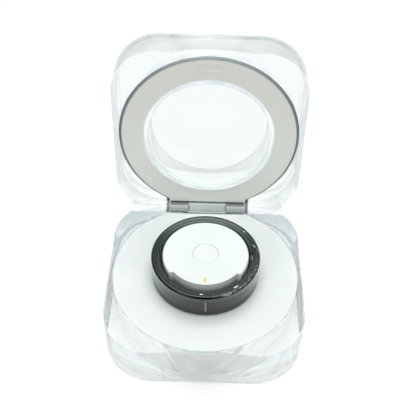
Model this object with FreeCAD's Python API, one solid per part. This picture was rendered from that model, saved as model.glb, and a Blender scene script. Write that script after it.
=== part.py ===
import FreeCAD, Part
import math
import os

Vector = FreeCAD.Vector

# All sizes in millimetres. Origin: middle of the underside, front at -Y, hinge at +Y.

# Case outline.
case_width = 48.9
case_height = 24.5
case_corner = 12.0
seam_height = 13.4
seam_gap = 0.2
base_edge_round = 1.5
lid_edge_round = 2.5
seam_edge_round = 0.3
half_width = case_width / 2
lid_bottom = seam_height + seam_gap
tool_margin = 2.0

# Hinge: the axis lies one barrel radius in from the back face, at the middle of the seam gap.
open_angle = 96.0
hinge_radius = 1.6
hinge_gap = 0.25
hinge_length = 20.3
hinge_end_gap = 0.2
centre_knuckle_length = 9.8
knuckle_gap = 0.25
knuckle_flat = 0.2
knuckle_flat_angle = 45.0
knuckle_step = 0.8
rebate_gap = 0.35
pin_radius = 0.6
pin_end_inset = 0.1
pin_press_gap = 0.01
pin_running_gap = 0.05
hinge_y = half_width - hinge_radius
hinge_z = seam_height + seam_gap / 2
hinge_bay_half = hinge_length / 2 + hinge_end_gap
hinge_bay_radius = hinge_radius + hinge_gap
back_rebate = hinge_radius + rebate_gap
centre_half = centre_knuckle_length / 2

# Round white body inside the clear base.
base_side_wall = 0.95
body_gap = 0.1
lip_height = 1.2
lip_width = 2.4
tub_wall = 1.0
tub_floor = 1.4
tub_gap = 0.1
underside_gap = 0.2
underside_round = 0.3
deck_drop = 0.15
deck_thickness = 1.2
deck_hinge_gap = 0.6
bore_radius = half_width - base_side_wall
body_radius = bore_radius - body_gap
lip_radius = bore_radius - lip_width
tub_radius = body_radius - tub_gap
tub_inner_radius = tub_radius - tub_wall
floor_top = lip_height + tub_floor
deck_top = seam_height - deck_drop
deck_under = deck_top - deck_thickness
hinge_notch_y = hinge_y - hinge_radius - deck_hinge_gap

# Smart ring sitting on the post.
ring_bore_radius = 10.9
ring_thickness = 2.6
ring_height = 7.0
ring_liner_thickness = 1.3
ring_rim_bevel = 0.35
ring_liner_round = 1.2
ring_lip_width = 0.5
ring_lip_drop = 0.2
ring_dish = 0.18
ring_dish_land = 2.4
ring_seat_gap = 0.02
ring_pocket_wall = 0.6
ring_pocket_margin = 1.0
ring_filling_gap = 0.2
ring_cell_thickness = 0.6
ring_circuit_thickness = 0.4
ring_cell_half_angle = 95.0
ring_circuit_half_angle = 70.0
sensor_angles = (-36.0, 0.0, 36.0)
sensor_radius = 1.5
sensor_proud = 0.45
sensor_depth = 0.4
sensor_round = 0.4
ring_radius = ring_bore_radius + ring_thickness
ring_liner_radius = ring_bore_radius + ring_liner_thickness
ring_pocket_radius = ring_radius - ring_pocket_wall
ring_bottom = deck_top + ring_seat_gap
ring_top = ring_bottom + ring_height

# Charging post, button and marks.
post_ring_gap = 0.22
post_height = 7.43
post_wall = 1.6
post_roof = 1.2
post_edge_round = 0.5
relief_depth = 0.95
relief_half_angle = 54.0
button_radius = 3.0
button_gap = 0.2
button_edge_round = 0.15
button_flange_width = 0.8
button_flange_thickness = 0.5
button_drop = 0.05
button_slack = 0.05
button_stem_radius = 0.8
mark_width = 0.5
mark_length = 1.6
mark_depth = 0.3
mark_inset = 0.55
post_radius = ring_bore_radius - post_ring_gap
post_inner_radius = post_radius - post_wall
post_top = deck_top + post_height
roof_under = post_top - post_roof
button_flange_radius = button_radius + button_flange_width
flange_top = roof_under - button_slack
flange_under = flange_top - button_flange_thickness
mark_outer = post_radius - relief_depth - mark_inset

# Lid inserts and hollow.
lid_side_wall = 1.25
plate_width = 5.55
plate_thickness = 0.8
plate_recess = 0.1
plate_gap = 0.05
plate_hinge_gap = 0.4
frame_depth = 2.85
frame_floor = 0.65
frame_bevel = 0.6
frame_rim = 0.1
frame_gap = 0.1
frame_ledge = 0.65
frame_inner_wall = 0.55
cheek_gap = 0.3
cheek_width = 0.7
cheek_root = 0.9
frame_tab_lap = 1.0
hollow_lip = 1.15
hollow_draft = 0.4
hollow_depth = 7.8
hollow_floor_round = 1.5
bumper_length = 7.0
bumper_width = 1.8
bumper_inset = 1.9
bumper_proud = 0.2
bumper_sunk = 0.1
frame_seat_radius = half_width - lid_side_wall
frame_radius = frame_seat_radius - frame_gap
plate_radius = frame_radius - frame_bevel - frame_rim
plate_bore_radius = plate_radius - plate_width
hollow_mouth_radius = plate_bore_radius - hollow_lip
plate_edge_y = hinge_y - hinge_radius - plate_hinge_gap
plate_tab_half = hinge_length / 2
cheek_inner = plate_tab_half + cheek_gap
frame_tab_half = cheek_inner + cheek_width
seat_tab_half = frame_tab_half + 2 * frame_gap
plate_face = lid_bottom + plate_recess
plate_back = plate_face + plate_thickness
frame_top = plate_face + frame_depth
frame_floor_z = frame_top - frame_floor
seat_top = frame_top + frame_gap
hollow_floor_z = lid_bottom + hollow_depth
bumper_y = bumper_inset - plate_radius

# Thumb dish shared by lid and base at the front of the seam.
dish_half_width = 13.0
dish_half_height = 8.5
dish_depth = 0.65

# Screws.
screw_shank_radius = 0.62
screw_head_radius = 1.3
screw_head_height = 0.7
screw_drive_radius = 0.5
screw_drive_depth = 0.35
screw_thread_gap = 0.05
screw_hole_gap = 0.1
screw_head_gap = 0.2
case_screw_length = 5.6
board_screw_length = 4.0
hinge_screw_length = 5.0
case_screw_seat = lip_height + screw_head_height + screw_thread_gap

# Hinge leaf under the deck.
leaf_thickness = 1.0
leaf_front_margin = 2.1
leaf_side_margin = 2.0
leaf_edge_gap = 0.1
web_gap = 0.25
web_side_gap = 0.1
leaf_under = deck_under - leaf_thickness

# USB-C receptacle in the back wall, below the hinge leaf.
usb_width = 8.94
usb_height = 3.26
usb_sheet = 0.3
usb_setback = 0.45
usb_length = 7.3
usb_gap = 0.2
usb_board_gap = 0.1
usb_leaf_gap = 1.22
usb_plug_length = 1.6
tongue_width = 6.69
tongue_thickness = 0.7
tongue_setback = 0.8
tongue_root = 0.1
usb_z = leaf_under - usb_leaf_gap - usb_height / 2
usb_front_y = half_width - usb_setback
usb_back_y = usb_front_y - usb_length

# Cell, boards and their posts. The cell fills the height between its pad and the board.
boss_inset = 2.5
boss_angles = (35.0, 145.0, 215.0, 325.0)
boss_radius = 1.7
boss_gap = 0.3
side_post_inset = 3.8
front_post_inset = 5.8
standoff_radius = 1.5
hinge_post_radius = 1.6
hinge_post_port_gap = 2.53
hinge_post_setback = 3.35
post_root = 0.2
battery_corner = 1.5
battery_side_gap = 0.52
battery_end_gap = 0.157
battery_shift = -1.0
battery_pad_height = 0.3
battery_pad_inset = 1.0
board_gap = 0.3
board_edge_gap = 0.7
board_thickness = 0.8
chip_height = 0.9
chip_places = ((-11.0, 4.5, 5.0), (11.0, 4.5, 4.0), (-9.5, -8.0, 4.0), (10.0, -8.0, 3.0))
boss_circle = tub_inner_radius - boss_inset
side_post_x = tub_inner_radius - side_post_inset
front_post_y = front_post_inset - tub_inner_radius
standoffs = ((-side_post_x, 0.0), (side_post_x, 0.0), (0.0, front_post_y))
hinge_post_x = usb_width / 2 + hinge_post_port_gap
hinge_post_y = hinge_notch_y - hinge_post_setback
hinge_posts = ((-hinge_post_x, hinge_post_y), (hinge_post_x, hinge_post_y))
leaf_half = hinge_post_x + leaf_side_margin
leaf_front_y = hinge_post_y - leaf_front_margin
battery_low = floor_top + battery_pad_height
board_z = usb_z - board_thickness / 2
board_top = board_z + board_thickness
board_radius = tub_inner_radius - board_edge_gap
battery_top = board_z - board_gap

# Magnets at the front.
magnet_length = 8.0
magnet_width = 2.0
magnet_inset = 2.0
base_magnet_height = 2.0
lid_magnet_height = 1.35
shelf_thickness = 0.7
shelf_lap = 0.2
shelf_root = 0.3
magnet_y = magnet_inset - tub_inner_radius

# Button board, switch and charging coil inside the post.
button_board_depth = 3.4
button_board_gap = 0.68
switch_size = 3.0
switch_height = 1.0
switch_well_depth = 0.6
plunger_radius = 0.6
plunger_gap = 0.1
plunger_height = 0.4
guide_gap = 0.4
guide_edge_gap = 1.4
guide_thickness = 1.0
bobbin_outer = 5.4
bobbin_wall = 0.8
bobbin_flange = 0.6
bobbin_deck_gap = 0.15
coil_gap = 0.05
coil_edge_gap = 0.4
core_gap = 1.2
flex_width = 3.0
flex_thickness = 0.15
flex_wall_gap = 0.55
button_board_top = post_top - button_board_depth
button_board_under = button_board_top - board_thickness
button_board_radius = post_inner_radius - button_board_gap
plunger_low = button_board_top + switch_height
plunger_top = plunger_low + plunger_height
bobbin_inner = bobbin_outer - bobbin_wall
bobbin_low = deck_under + bobbin_deck_gap
coil_radius = button_board_radius - coil_edge_gap
core_radius = bobbin_inner - core_gap
flex_y = bobbin_inner - flex_wall_gap - flex_thickness


def cylinder(radius, z_low, z_high, x=0.0, y=0.0):
    return Part.makeCylinder(radius, z_high - z_low, Vector(x, y, z_low))


def ring(outer, inner, z_low, z_high):
    return cylinder(outer, z_low, z_high).cut(cylinder(inner, z_low - tool_margin, z_high + tool_margin))


def block(x_low, x_high, y_low, y_high, z_low, z_high):
    size = (x_high - x_low, y_high - y_low, z_high - z_low)
    return Part.makeBox(*size, Vector(x_low, y_low, z_low))


def revolved(profile):
    """Solid swept round Z from a closed (radius, z) outline."""
    points = [Vector(r, 0, z) for r, z in profile]
    outline = Part.makePolygon(points + points[:1])
    return Part.Face(outline).revolve(Vector(0, 0, 0), Vector(0, 0, 1), 360)


def rolled_edges(shape, radius, z):
    """Round every edge that lies wholly at one height."""
    edges = []
    for edge in shape.Edges:
        box = edge.BoundBox
        if abs(box.ZMin - z) < 1e-4 and abs(box.ZMax - z) < 1e-4:
            edges.append(edge)
    return shape.makeFillet(radius, edges)


def rounded_block(x_size, y_size, corner, z_low, z_high, y=0.0):
    shape = block(-x_size / 2, x_size / 2, y - y_size / 2, y + y_size / 2, z_low, z_high)
    upright = [e for e in shape.Edges if e.BoundBox.XLength < 1e-4 and e.BoundBox.YLength < 1e-4]
    return shape.makeFillet(corner, upright)


def round_ended(size):
    """Corner radius that leaves a hair of straight edge between two rounded corners."""
    return size / 2 - 1e-3


def case_column(z_low, z_high):
    return rounded_block(case_width, case_width, case_corner, z_low, z_high)


def hinge_cylinder(radius, x_low, x_high):
    return Part.makeCylinder(radius, x_high - x_low, Vector(x_low, hinge_y, hinge_z), Vector(1, 0, 0))


def port_prism(inset, y_low, y_high):
    """Round-ended bar along Y with the outline of the port, drawn in by the inset."""
    half_w = usb_width / 2 - inset
    half_h = usb_height / 2 - inset
    shape = block(-half_w, half_w, y_low, y_high, usb_z - half_h, usb_z + half_h)
    along = [e for e in shape.Edges if e.BoundBox.XLength < 1e-4 and e.BoundBox.ZLength < 1e-4]
    return shape.makeFillet(round_ended(2 * half_h), along)


def sector(radius, half_angle, z_low, z_high, middle):
    """Pie slice about Z, its middle at the given angle."""
    piece = Part.makeCylinder(radius, z_high - z_low, Vector(0, 0, z_low), Vector(0, 0, 1), 2 * half_angle)
    piece.rotate(Vector(0, 0, 0), Vector(0, 0, 1), middle - half_angle)
    return piece


def screw(x, y, seat_z, length, up):
    """Pan-head screw: the head sits at seat_z and the shank runs up or down from there."""
    head = cylinder(screw_head_radius, -screw_head_height, 0)
    shank = cylinder(screw_shank_radius, 0, length)
    drive = cylinder(screw_drive_radius, -screw_head_height, screw_drive_depth - screw_head_height)
    shape = head.fuse(shank).cut(drive)
    if not up:
        shape.rotate(Vector(0, 0, 0), Vector(1, 0, 0), 180)
    shape.translate(Vector(x, y, seat_z))
    return shape


def on_circle(radius, angle):
    return radius * math.cos(math.radians(angle)), radius * math.sin(math.radians(angle))


def thumb_dish():
    """Shallow hollow with a curved floor, centred on the front of the seam."""
    tube = (dish_half_height**2 + dish_depth**2) / (2 * dish_depth)
    reach = (dish_half_width**2 + dish_depth**2) / (2 * dish_depth)
    middle = Vector(0, -half_width - reach + dish_depth, hinge_z)
    return Part.makeTorus(reach - tube, tube, middle, Vector(0, 0, 1))


def opened(shape):
    """Swing a piece of the shut lid to the open rest pose."""
    turned = shape.copy()
    turned.rotate(Vector(0, hinge_y, hinge_z), Vector(1, 0, 0), -open_angle)
    return turned


boss_places = [on_circle(boss_circle, angle) for angle in boss_angles]
boss_x, boss_y = boss_places[0]
battery_length = 2 * (boss_x - boss_radius - battery_side_gap)
battery_width = 2 * (boss_y - boss_radius - battery_end_gap)


def make_base_shell():
    shell = rolled_edges(case_column(0, seam_height), base_edge_round, 0)
    shell = rolled_edges(shell, seam_edge_round, seam_height)
    shell = shell.cut(cylinder(bore_radius, lip_height, seam_height + tool_margin))
    shell = shell.cut(cylinder(lip_radius, -tool_margin, lip_height + tool_margin))
    shell = shell.cut(hinge_cylinder(hinge_bay_radius, -half_width, half_width))
    rebate_z = hinge_z - back_rebate
    shell = shell.cut(
        block(-half_width, half_width, hinge_y, half_width + tool_margin, rebate_z, seam_height + tool_margin)
    )
    shell = shell.cut(thumb_dish())
    return shell.cut(port_prism(-usb_gap, usb_back_y, half_width + tool_margin))


def make_base_tub():
    tub = cylinder(tub_radius, lip_height, deck_under)
    tub = tub.cut(cylinder(tub_inner_radius, floor_top, deck_under + tool_margin))
    pilot = screw_shank_radius + screw_thread_gap
    for x, y in standoffs:
        tub = tub.fuse(cylinder(standoff_radius, floor_top - post_root, board_z, x, y))
        tub = tub.cut(cylinder(pilot, board_z - board_screw_length, board_z, x, y))
    for x, y in hinge_posts:
        tub = tub.fuse(cylinder(hinge_post_radius, floor_top - post_root, leaf_under, x, y))
        tub = tub.cut(cylinder(pilot, deck_under - hinge_screw_length, leaf_under, x, y))
    for x, y in boss_places:
        tub = tub.cut(cylinder(screw_head_radius + screw_hole_gap, 0, case_screw_seat, x, y))
        tub = tub.cut(cylinder(screw_shank_radius + screw_hole_gap, 0, floor_top + tool_margin, x, y))
    shelf_top = deck_under - base_magnet_height
    half = magnet_length / 2
    shelf_back = magnet_y + magnet_width / 2 + shelf_lap
    shelf = block(-half, half, -tub_radius, shelf_back, shelf_top - shelf_thickness, shelf_top)
    tub = tub.fuse(shelf.common(cylinder(tub_radius - shelf_root, 0, deck_under)))
    tub = tub.cut(port_prism(-usb_gap, usb_back_y, half_width + tool_margin))
    tub = tub.cut(hinge_cylinder(hinge_bay_radius, -hinge_bay_half, hinge_bay_half))
    web_half = centre_half + web_side_gap
    slot_low = leaf_under - web_side_gap
    above = deck_under + tool_margin
    return tub.cut(block(-web_half, web_half, hinge_notch_y, half_width, slot_low, above))


def post_relief():
    """Room for the sensors at the front of the post, hollowed round at both ends."""
    top = post_top + tool_margin
    end_angle = math.degrees(math.asin(relief_depth / post_radius))
    straight = relief_half_angle - end_angle
    relief = sector(post_radius + tool_margin, straight, deck_top, top, -90)
    relief = relief.cut(cylinder(post_radius - relief_depth, deck_under, top + tool_margin))
    for angle in (-90 - straight, -90 + straight):
        relief = relief.fuse(cylinder(relief_depth, deck_top, top, *on_circle(post_radius, angle)))
    return relief


def make_charging_deck():
    deck = cylinder(body_radius, deck_under, deck_top)
    post = rolled_edges(cylinder(post_radius, deck_under, post_top), post_edge_round, post_top)
    deck = deck.fuse(post.cut(post_relief()))
    deck = deck.cut(cylinder(post_inner_radius, deck_under - tool_margin, roof_under))
    pilot = screw_shank_radius + screw_thread_gap
    for x, y in boss_places:
        deck = deck.fuse(cylinder(boss_radius, floor_top, deck_under + post_root, x, y))
        deck = deck.cut(cylinder(pilot, floor_top, case_screw_seat + case_screw_length, x, y))
    pocket_top = deck_under + screw_head_height + screw_hole_gap
    for x, y in hinge_posts:
        deck = deck.cut(cylinder(screw_head_radius + screw_head_gap, floor_top, pocket_top, x, y))
    deck = deck.cut(cylinder(button_radius + button_gap, roof_under - tool_margin, post_top + tool_margin))
    deck = deck.cut(make_align_mark())
    above = deck_top + tool_margin
    notch = block(-hinge_bay_half, hinge_bay_half, hinge_notch_y, half_width, floor_top, above)
    return deck.cut(notch)


def make_align_mark():
    middle = mark_length / 2 - mark_outer
    corner = round_ended(mark_width)
    return rounded_block(mark_width, mark_length, corner, post_top - mark_depth, post_top, middle)


def make_status_button():
    cap_top = post_top - button_drop
    cap = rolled_edges(cylinder(button_radius, flange_under, cap_top), button_edge_round, cap_top)
    flange = cylinder(button_flange_radius, flange_under, flange_top)
    stem = cylinder(button_stem_radius, plunger_top, flange_top)
    return cap.fuse([flange, stem]).removeSplitter()


def make_switch_plunger():
    return cylinder(plunger_radius, plunger_low, plunger_top)


def make_button_switch():
    half = switch_size / 2
    body = block(-half, half, -half, half, button_board_top, plunger_low)
    return body.cut(cylinder(plunger_radius + plunger_gap, plunger_low - switch_well_depth, plunger_low))


def make_light_guide():
    outer = post_inner_radius - guide_edge_gap
    return ring(outer, button_flange_radius + guide_gap, roof_under - guide_thickness, roof_under)


def make_button_board():
    return cylinder(button_board_radius, button_board_under, button_board_top)


def make_coil_bobbin():
    bobbin = ring(bobbin_outer, bobbin_inner, board_top, button_board_under)
    lower = ring(button_board_radius, bobbin_inner, bobbin_low, bobbin_low + bobbin_flange)
    upper = ring(button_board_radius, bobbin_inner, button_board_under - bobbin_flange, button_board_under)
    return bobbin.fuse([lower, upper])


def make_charging_coil():
    low = bobbin_low + bobbin_flange + coil_gap
    return ring(coil_radius, bobbin_outer + coil_gap, low, button_board_under - bobbin_flange - coil_gap)


def make_ferrite_core():
    return cylinder(core_radius, board_top, button_board_under)


def make_button_flex():
    half = flex_width / 2
    return block(-half, half, flex_y, flex_y + flex_thickness, board_top, button_board_under)


def make_main_board():
    low = board_z - tool_margin
    high = board_top + tool_margin
    board = cylinder(board_radius, board_z, board_top)
    port_half = usb_width / 2 + usb_board_gap
    board = board.cut(block(-port_half, port_half, usb_back_y - usb_board_gap, half_width, low, high))
    for x, y in boss_places:
        board = board.cut(cylinder(boss_radius + boss_gap, low, high, x, y))
    for x, y in hinge_posts:
        board = board.cut(cylinder(hinge_post_radius + boss_gap, low, high, x, y))
    for x, y in standoffs:
        board = board.cut(cylinder(screw_shank_radius + screw_hole_gap, low, high, x, y))
    return board


def make_board_chips():
    chips = []
    for x, y, side in chip_places:
        half = side / 2
        chips.append(block(x - half, x + half, y - half, y + half, board_top, board_top + chip_height))
    return Part.makeCompound(chips)


def make_battery():
    length, width = battery_length, battery_width
    return rounded_block(length, width, battery_corner, battery_low, battery_top, battery_shift)


def make_battery_pad():
    length = battery_length - 2 * battery_pad_inset
    width = battery_width - 2 * battery_pad_inset
    return rounded_block(length, width, battery_corner, floor_top, battery_low, battery_shift)


def make_usb_shell():
    outside = port_prism(0, usb_back_y, usb_front_y)
    return outside.cut(port_prism(usb_sheet, usb_back_y - tool_margin, usb_front_y + tool_margin))


def make_usb_tongue():
    plug_end = usb_back_y + usb_plug_length
    plug = port_prism(usb_sheet, usb_back_y, plug_end)
    half_w = tongue_width / 2
    half_t = tongue_thickness / 2
    tip = usb_front_y - tongue_setback
    return plug.fuse(block(-half_w, half_w, plug_end - tongue_root, tip, usb_z - half_t, usb_z + half_t))


def magnet(z_low, z_high):
    half_l = magnet_length / 2
    half_w = magnet_width / 2
    return block(-half_l, half_l, magnet_y - half_w, magnet_y + half_w, z_low, z_high)


def make_base_magnet():
    return magnet(deck_under - base_magnet_height, deck_under)


def make_base_plate():
    return rolled_edges(cylinder(lip_radius - underside_gap, 0, lip_height), underside_round, 0)


def make_hinge_bracket():
    leaf = block(-leaf_half, leaf_half, leaf_front_y, half_width, leaf_under, deck_under)
    leaf = leaf.common(cylinder(tub_inner_radius - leaf_edge_gap, 0, seam_height))
    leaf = leaf.cut(hinge_cylinder(hinge_bay_radius, -hinge_bay_half, hinge_bay_half))
    web = block(-centre_half, centre_half, hinge_notch_y + web_gap, hinge_y, leaf_under, hinge_z)
    web = web.common(cylinder(hinge_y, 0, case_height))
    knuckle = hinge_cylinder(hinge_radius, -centre_half, centre_half)
    flat_z = hinge_radius - knuckle_flat
    flat = block(-centre_half, centre_half, -hinge_radius, hinge_radius, flat_z, 2 * hinge_radius)
    flat.rotate(Vector(0, 0, 0), Vector(1, 0, 0), knuckle_flat_angle)
    flat.translate(Vector(0, hinge_y, hinge_z))
    bracket = leaf.fuse([web, knuckle.cut(flat)])
    bracket = bracket.cut(hinge_cylinder(pin_radius + pin_press_gap, -half_width, half_width))
    hole_radius = screw_shank_radius + screw_hole_gap
    for x, y in hinge_posts:
        hole = cylinder(hole_radius, leaf_under - tool_margin, deck_under + tool_margin, x, y)
        bracket = bracket.cut(hole)
    return bracket.removeSplitter()


def make_hinge_pin():
    half = hinge_length / 2 - pin_end_inset
    return hinge_cylinder(pin_radius, -half, half)


def make_lid_shell():
    shell = rolled_edges(case_column(lid_bottom, case_height), lid_edge_round, case_height)
    shell = rolled_edges(shell, seam_edge_round, lid_bottom)
    roll = hinge_cylinder(hinge_radius, -half_width, half_width)
    shell = shell.fuse(roll.common(case_column(hinge_z - 2 * hinge_radius, hinge_z + 2 * hinge_radius)))
    below = hinge_z - 2 * hinge_radius
    hollow = revolved(
        (
            (0, below),
            (hollow_mouth_radius, below),
            (hollow_mouth_radius, lid_bottom),
            (hollow_mouth_radius - hollow_draft, hollow_floor_z),
            (0, hollow_floor_z),
        )
    )
    shell = shell.cut(rolled_edges(hollow, hollow_floor_round, hollow_floor_z))
    shell = shell.cut(ring(frame_seat_radius, plate_bore_radius - frame_gap, below, seat_top))
    tab_end = hinge_y + hinge_gap
    shell = shell.cut(block(-seat_tab_half, seat_tab_half, plate_bore_radius, tab_end, below, seat_top))
    shell = shell.cut(hinge_cylinder(hinge_bay_radius, -seat_tab_half, seat_tab_half))
    return shell.cut(thumb_dish())


def make_lid_frame():
    lip = plate_radius + plate_gap
    inner = plate_bore_radius + frame_inner_wall
    frame = revolved(
        (
            (plate_bore_radius, frame_top),
            (frame_radius, frame_top),
            (frame_radius, plate_face + frame_bevel),
            (frame_radius - frame_bevel, plate_face),
            (lip, plate_face),
            (lip, plate_back),
            (lip - frame_ledge, plate_back),
            (lip - frame_ledge, frame_floor_z),
            (inner, frame_floor_z),
            (inner, plate_back),
            (plate_bore_radius, plate_back),
        )
    )
    tab_start = plate_bore_radius + frame_tab_lap
    frame = frame.fuse(block(-frame_tab_half, frame_tab_half, tab_start, hinge_y, plate_face, frame_top))
    frame = frame.cut(plate_outline(plate_gap, plate_face - tool_margin, plate_back))
    step_z = plate_face + knuckle_step
    frame = frame.cut(
        block(-seat_tab_half, seat_tab_half, plate_edge_y, half_width, plate_face - tool_margin, step_z)
    )
    slot_y = plate_edge_y - cheek_root
    inner_end = centre_half + knuckle_gap
    for side in (-1, 1):
        near, far = sorted((side * plate_tab_half, side * cheek_inner))
        frame = frame.cut(block(near, far, slot_y, half_width, plate_face - tool_margin, seat_top))
        near, far = sorted((side * cheek_inner, side * frame_tab_half))
        frame = frame.fuse(block(near, far, slot_y, hinge_y, plate_face, frame_top))
        frame = frame.fuse(hinge_cylinder(hinge_radius, near, far))
    for ends in ((-hinge_length / 2, -inner_end), (inner_end, hinge_length / 2)):
        frame = frame.fuse(hinge_cylinder(hinge_radius, *ends))
    frame = frame.cut(hinge_cylinder(hinge_bay_radius, -inner_end, inner_end))
    frame = frame.cut(hinge_cylinder(pin_radius + pin_running_gap, -half_width, half_width))
    return frame.removeSplitter()


def plate_outline(extra, z_low, z_high):
    """Annular plate with a straight tab at the hinge, grown outward by extra."""
    edge_y = plate_edge_y + extra
    half = plate_tab_half + extra
    disc = cylinder(plate_radius + extra, z_low, z_high)
    disc = disc.fuse(block(-half, half, plate_bore_radius, edge_y, z_low, z_high))
    below = z_low - tool_margin
    above = z_high + tool_margin
    disc = disc.cut(block(-half_width, half_width, edge_y, half_width, below, above))
    return disc.cut(cylinder(plate_bore_radius - extra, below, above))


def make_lid_plate():
    return plate_outline(0, plate_face, plate_back).removeSplitter().cut(make_lid_bumper())


def make_lid_bumper():
    low = plate_face - bumper_proud
    high = plate_face + bumper_sunk
    return rounded_block(bumper_length, bumper_width, round_ended(bumper_width), low, high, bumper_y)


def make_lid_magnet():
    return magnet(frame_floor_z - lid_magnet_height, frame_floor_z)


def make_ring_band():
    middle = (ring_bottom + ring_top) / 2
    bevel = ring_rim_bevel
    half_land = ring_dish_land / 2
    band = revolved(
        (
            (ring_liner_radius, ring_bottom + ring_lip_drop),
            (ring_liner_radius + ring_lip_width, ring_bottom),
            (ring_radius - bevel, ring_bottom),
            (ring_radius, ring_bottom + bevel),
            (ring_radius, ring_bottom + 2 * bevel),
            (ring_radius - ring_dish, middle - half_land),
            (ring_radius - ring_dish, middle + half_land),
            (ring_radius, ring_top - 2 * bevel),
            (ring_radius, ring_top - bevel),
            (ring_radius - bevel, ring_top),
            (ring_liner_radius + ring_lip_width, ring_top),
            (ring_liner_radius, ring_top - ring_lip_drop),
        )
    )
    margin = ring_pocket_margin
    return band.cut(ring(ring_pocket_radius, ring_bore_radius, ring_bottom + margin, ring_top - margin))


def make_ring_liner():
    liner = ring(ring_liner_radius, ring_bore_radius, ring_bottom + ring_lip_drop, ring_top - ring_lip_drop)
    reach = ring_bore_radius + 1e-4
    inner = [e for e in liner.Edges if e.BoundBox.ZLength < 1e-4 and e.BoundBox.XMax < reach]
    liner = liner.makeFillet(ring_liner_round, inner)
    for pad in sensor_pads():
        liner = liner.cut(pad)
    return liner


def sensor_pads():
    """Low round pads on the bore of the ring, facing its middle."""
    inner = ring_bore_radius - sensor_proud
    start = Vector(0, -inner, (ring_bottom + ring_top) / 2)
    pads = []
    for angle in sensor_angles:
        pad = Part.makeCylinder(sensor_radius, sensor_proud + sensor_depth, start, Vector(0, -1, 0))
        faced = [e for e in pad.Edges if e.BoundBox.YMin > -inner - 1e-4]
        pad = pad.makeFillet(sensor_round, faced)
        pad.rotate(Vector(0, 0, 0), Vector(0, 0, 1), angle)
        pads.append(pad)
    return pads


def make_ring_sensors():
    return Part.makeCompound(sensor_pads())


def ring_filling(thickness, half_angle, middle):
    """Curved strip between band and lining."""
    low = ring_bottom + ring_pocket_margin + ring_filling_gap
    high = ring_top - ring_pocket_margin - ring_filling_gap
    outer = ring_liner_radius + thickness
    filling = ring(outer, ring_liner_radius, low, high)
    return filling.common(sector(ring_radius, half_angle, low, high, middle))


def make_ring_battery():
    return ring_filling(ring_cell_thickness, ring_cell_half_angle, 90)


def make_ring_circuit():
    return ring_filling(ring_circuit_thickness, ring_circuit_half_angle, -90)


def make_case_screws():
    screws = [screw(x, y, case_screw_seat, case_screw_length, True) for x, y in boss_places]
    return Part.makeCompound(screws)


def make_board_screws():
    return Part.makeCompound([screw(x, y, board_top, board_screw_length, False) for x, y in standoffs])


def make_hinge_screws():
    return Part.makeCompound([screw(x, y, deck_under, hinge_screw_length, False) for x, y in hinge_posts])


base_pieces = {
    "base_shell": make_base_shell,
    "base_tub": make_base_tub,
    "base_plate": make_base_plate,
    "charging_deck": make_charging_deck,
    "align_mark": make_align_mark,
    "light_guide": make_light_guide,
    "button_board": make_button_board,
    "button_switch": make_button_switch,
    "button_flex": make_button_flex,
    "coil_bobbin": make_coil_bobbin,
    "charging_coil": make_charging_coil,
    "ferrite_core": make_ferrite_core,
    "main_board": make_main_board,
    "board_chips": make_board_chips,
    "battery": make_battery,
    "battery_pad": make_battery_pad,
    "usb_shell": make_usb_shell,
    "usb_tongue": make_usb_tongue,
    "base_magnet": make_base_magnet,
    "hinge_bracket": make_hinge_bracket,
    "hinge_pin": make_hinge_pin,
    "case_screws": make_case_screws,
    "board_screws": make_board_screws,
    "hinge_screws": make_hinge_screws,
    "status_button": make_status_button,
    "switch_plunger": make_switch_plunger,
    "ring_band": make_ring_band,
    "ring_liner": make_ring_liner,
    "ring_sensors": make_ring_sensors,
    "ring_battery": make_ring_battery,
    "ring_circuit": make_ring_circuit,
}

lid_pieces = {
    "lid_shell": make_lid_shell,
    "lid_frame": make_lid_frame,
    "lid_plate": make_lid_plate,
    "lid_bumper": make_lid_bumper,
    "lid_magnet": make_lid_magnet,
}

os.makedirs("parts", exist_ok=True)
for name, make in base_pieces.items():
    make().exportStep("parts/" + name + ".step")
for name, make in lid_pieces.items():
    opened(make()).exportStep("parts/" + name + ".step")
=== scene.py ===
import logging
import math
from dataclasses import dataclass, field
from enum import Enum
from typing import Any, Sequence

import bmesh
import bpy
from mathutils import Matrix, Vector


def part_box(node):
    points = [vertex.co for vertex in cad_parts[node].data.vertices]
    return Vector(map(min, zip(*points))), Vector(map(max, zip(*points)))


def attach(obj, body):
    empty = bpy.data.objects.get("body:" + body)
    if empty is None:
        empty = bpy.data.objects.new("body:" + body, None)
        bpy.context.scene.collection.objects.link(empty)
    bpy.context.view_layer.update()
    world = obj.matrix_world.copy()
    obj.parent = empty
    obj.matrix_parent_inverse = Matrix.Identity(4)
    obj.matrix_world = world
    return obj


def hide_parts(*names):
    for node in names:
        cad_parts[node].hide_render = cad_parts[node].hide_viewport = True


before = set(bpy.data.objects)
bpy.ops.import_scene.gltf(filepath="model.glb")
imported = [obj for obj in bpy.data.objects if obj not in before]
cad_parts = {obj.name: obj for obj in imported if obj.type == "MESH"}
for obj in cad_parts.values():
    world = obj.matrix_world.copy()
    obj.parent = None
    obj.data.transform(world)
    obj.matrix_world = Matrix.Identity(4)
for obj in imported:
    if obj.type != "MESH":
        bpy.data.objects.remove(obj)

# Sizes are in millimetres in the frame of the shut case, unless a name or a docstring says metres.
LOG = logging.getLogger("ring_case")
MM = 0.001
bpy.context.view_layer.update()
CASE_HALF = 24.45
CASE_CORNER = 12.0
HINGE_Y = 22.85
HINGE_Z = 13.5
OPEN_DEG = 96.0
NORMAL_WEIGHT = 60
SPOT_CORE = 0.6

Number = float | int
Rgb = tuple[float, float, float]
Point = tuple[float, float, float]
Spot = tuple[Point, float]
Span = tuple[float, float]
Profile = Sequence[tuple[float, float]]
WHITE: Rgb = (1.0, 1.0, 1.0)


@dataclass(frozen=True)
class Grain:
    """Size and make-up of a cloudy noise."""

    size_mm: float
    detail: float = 2.0
    roughness: float = 0.6


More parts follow.
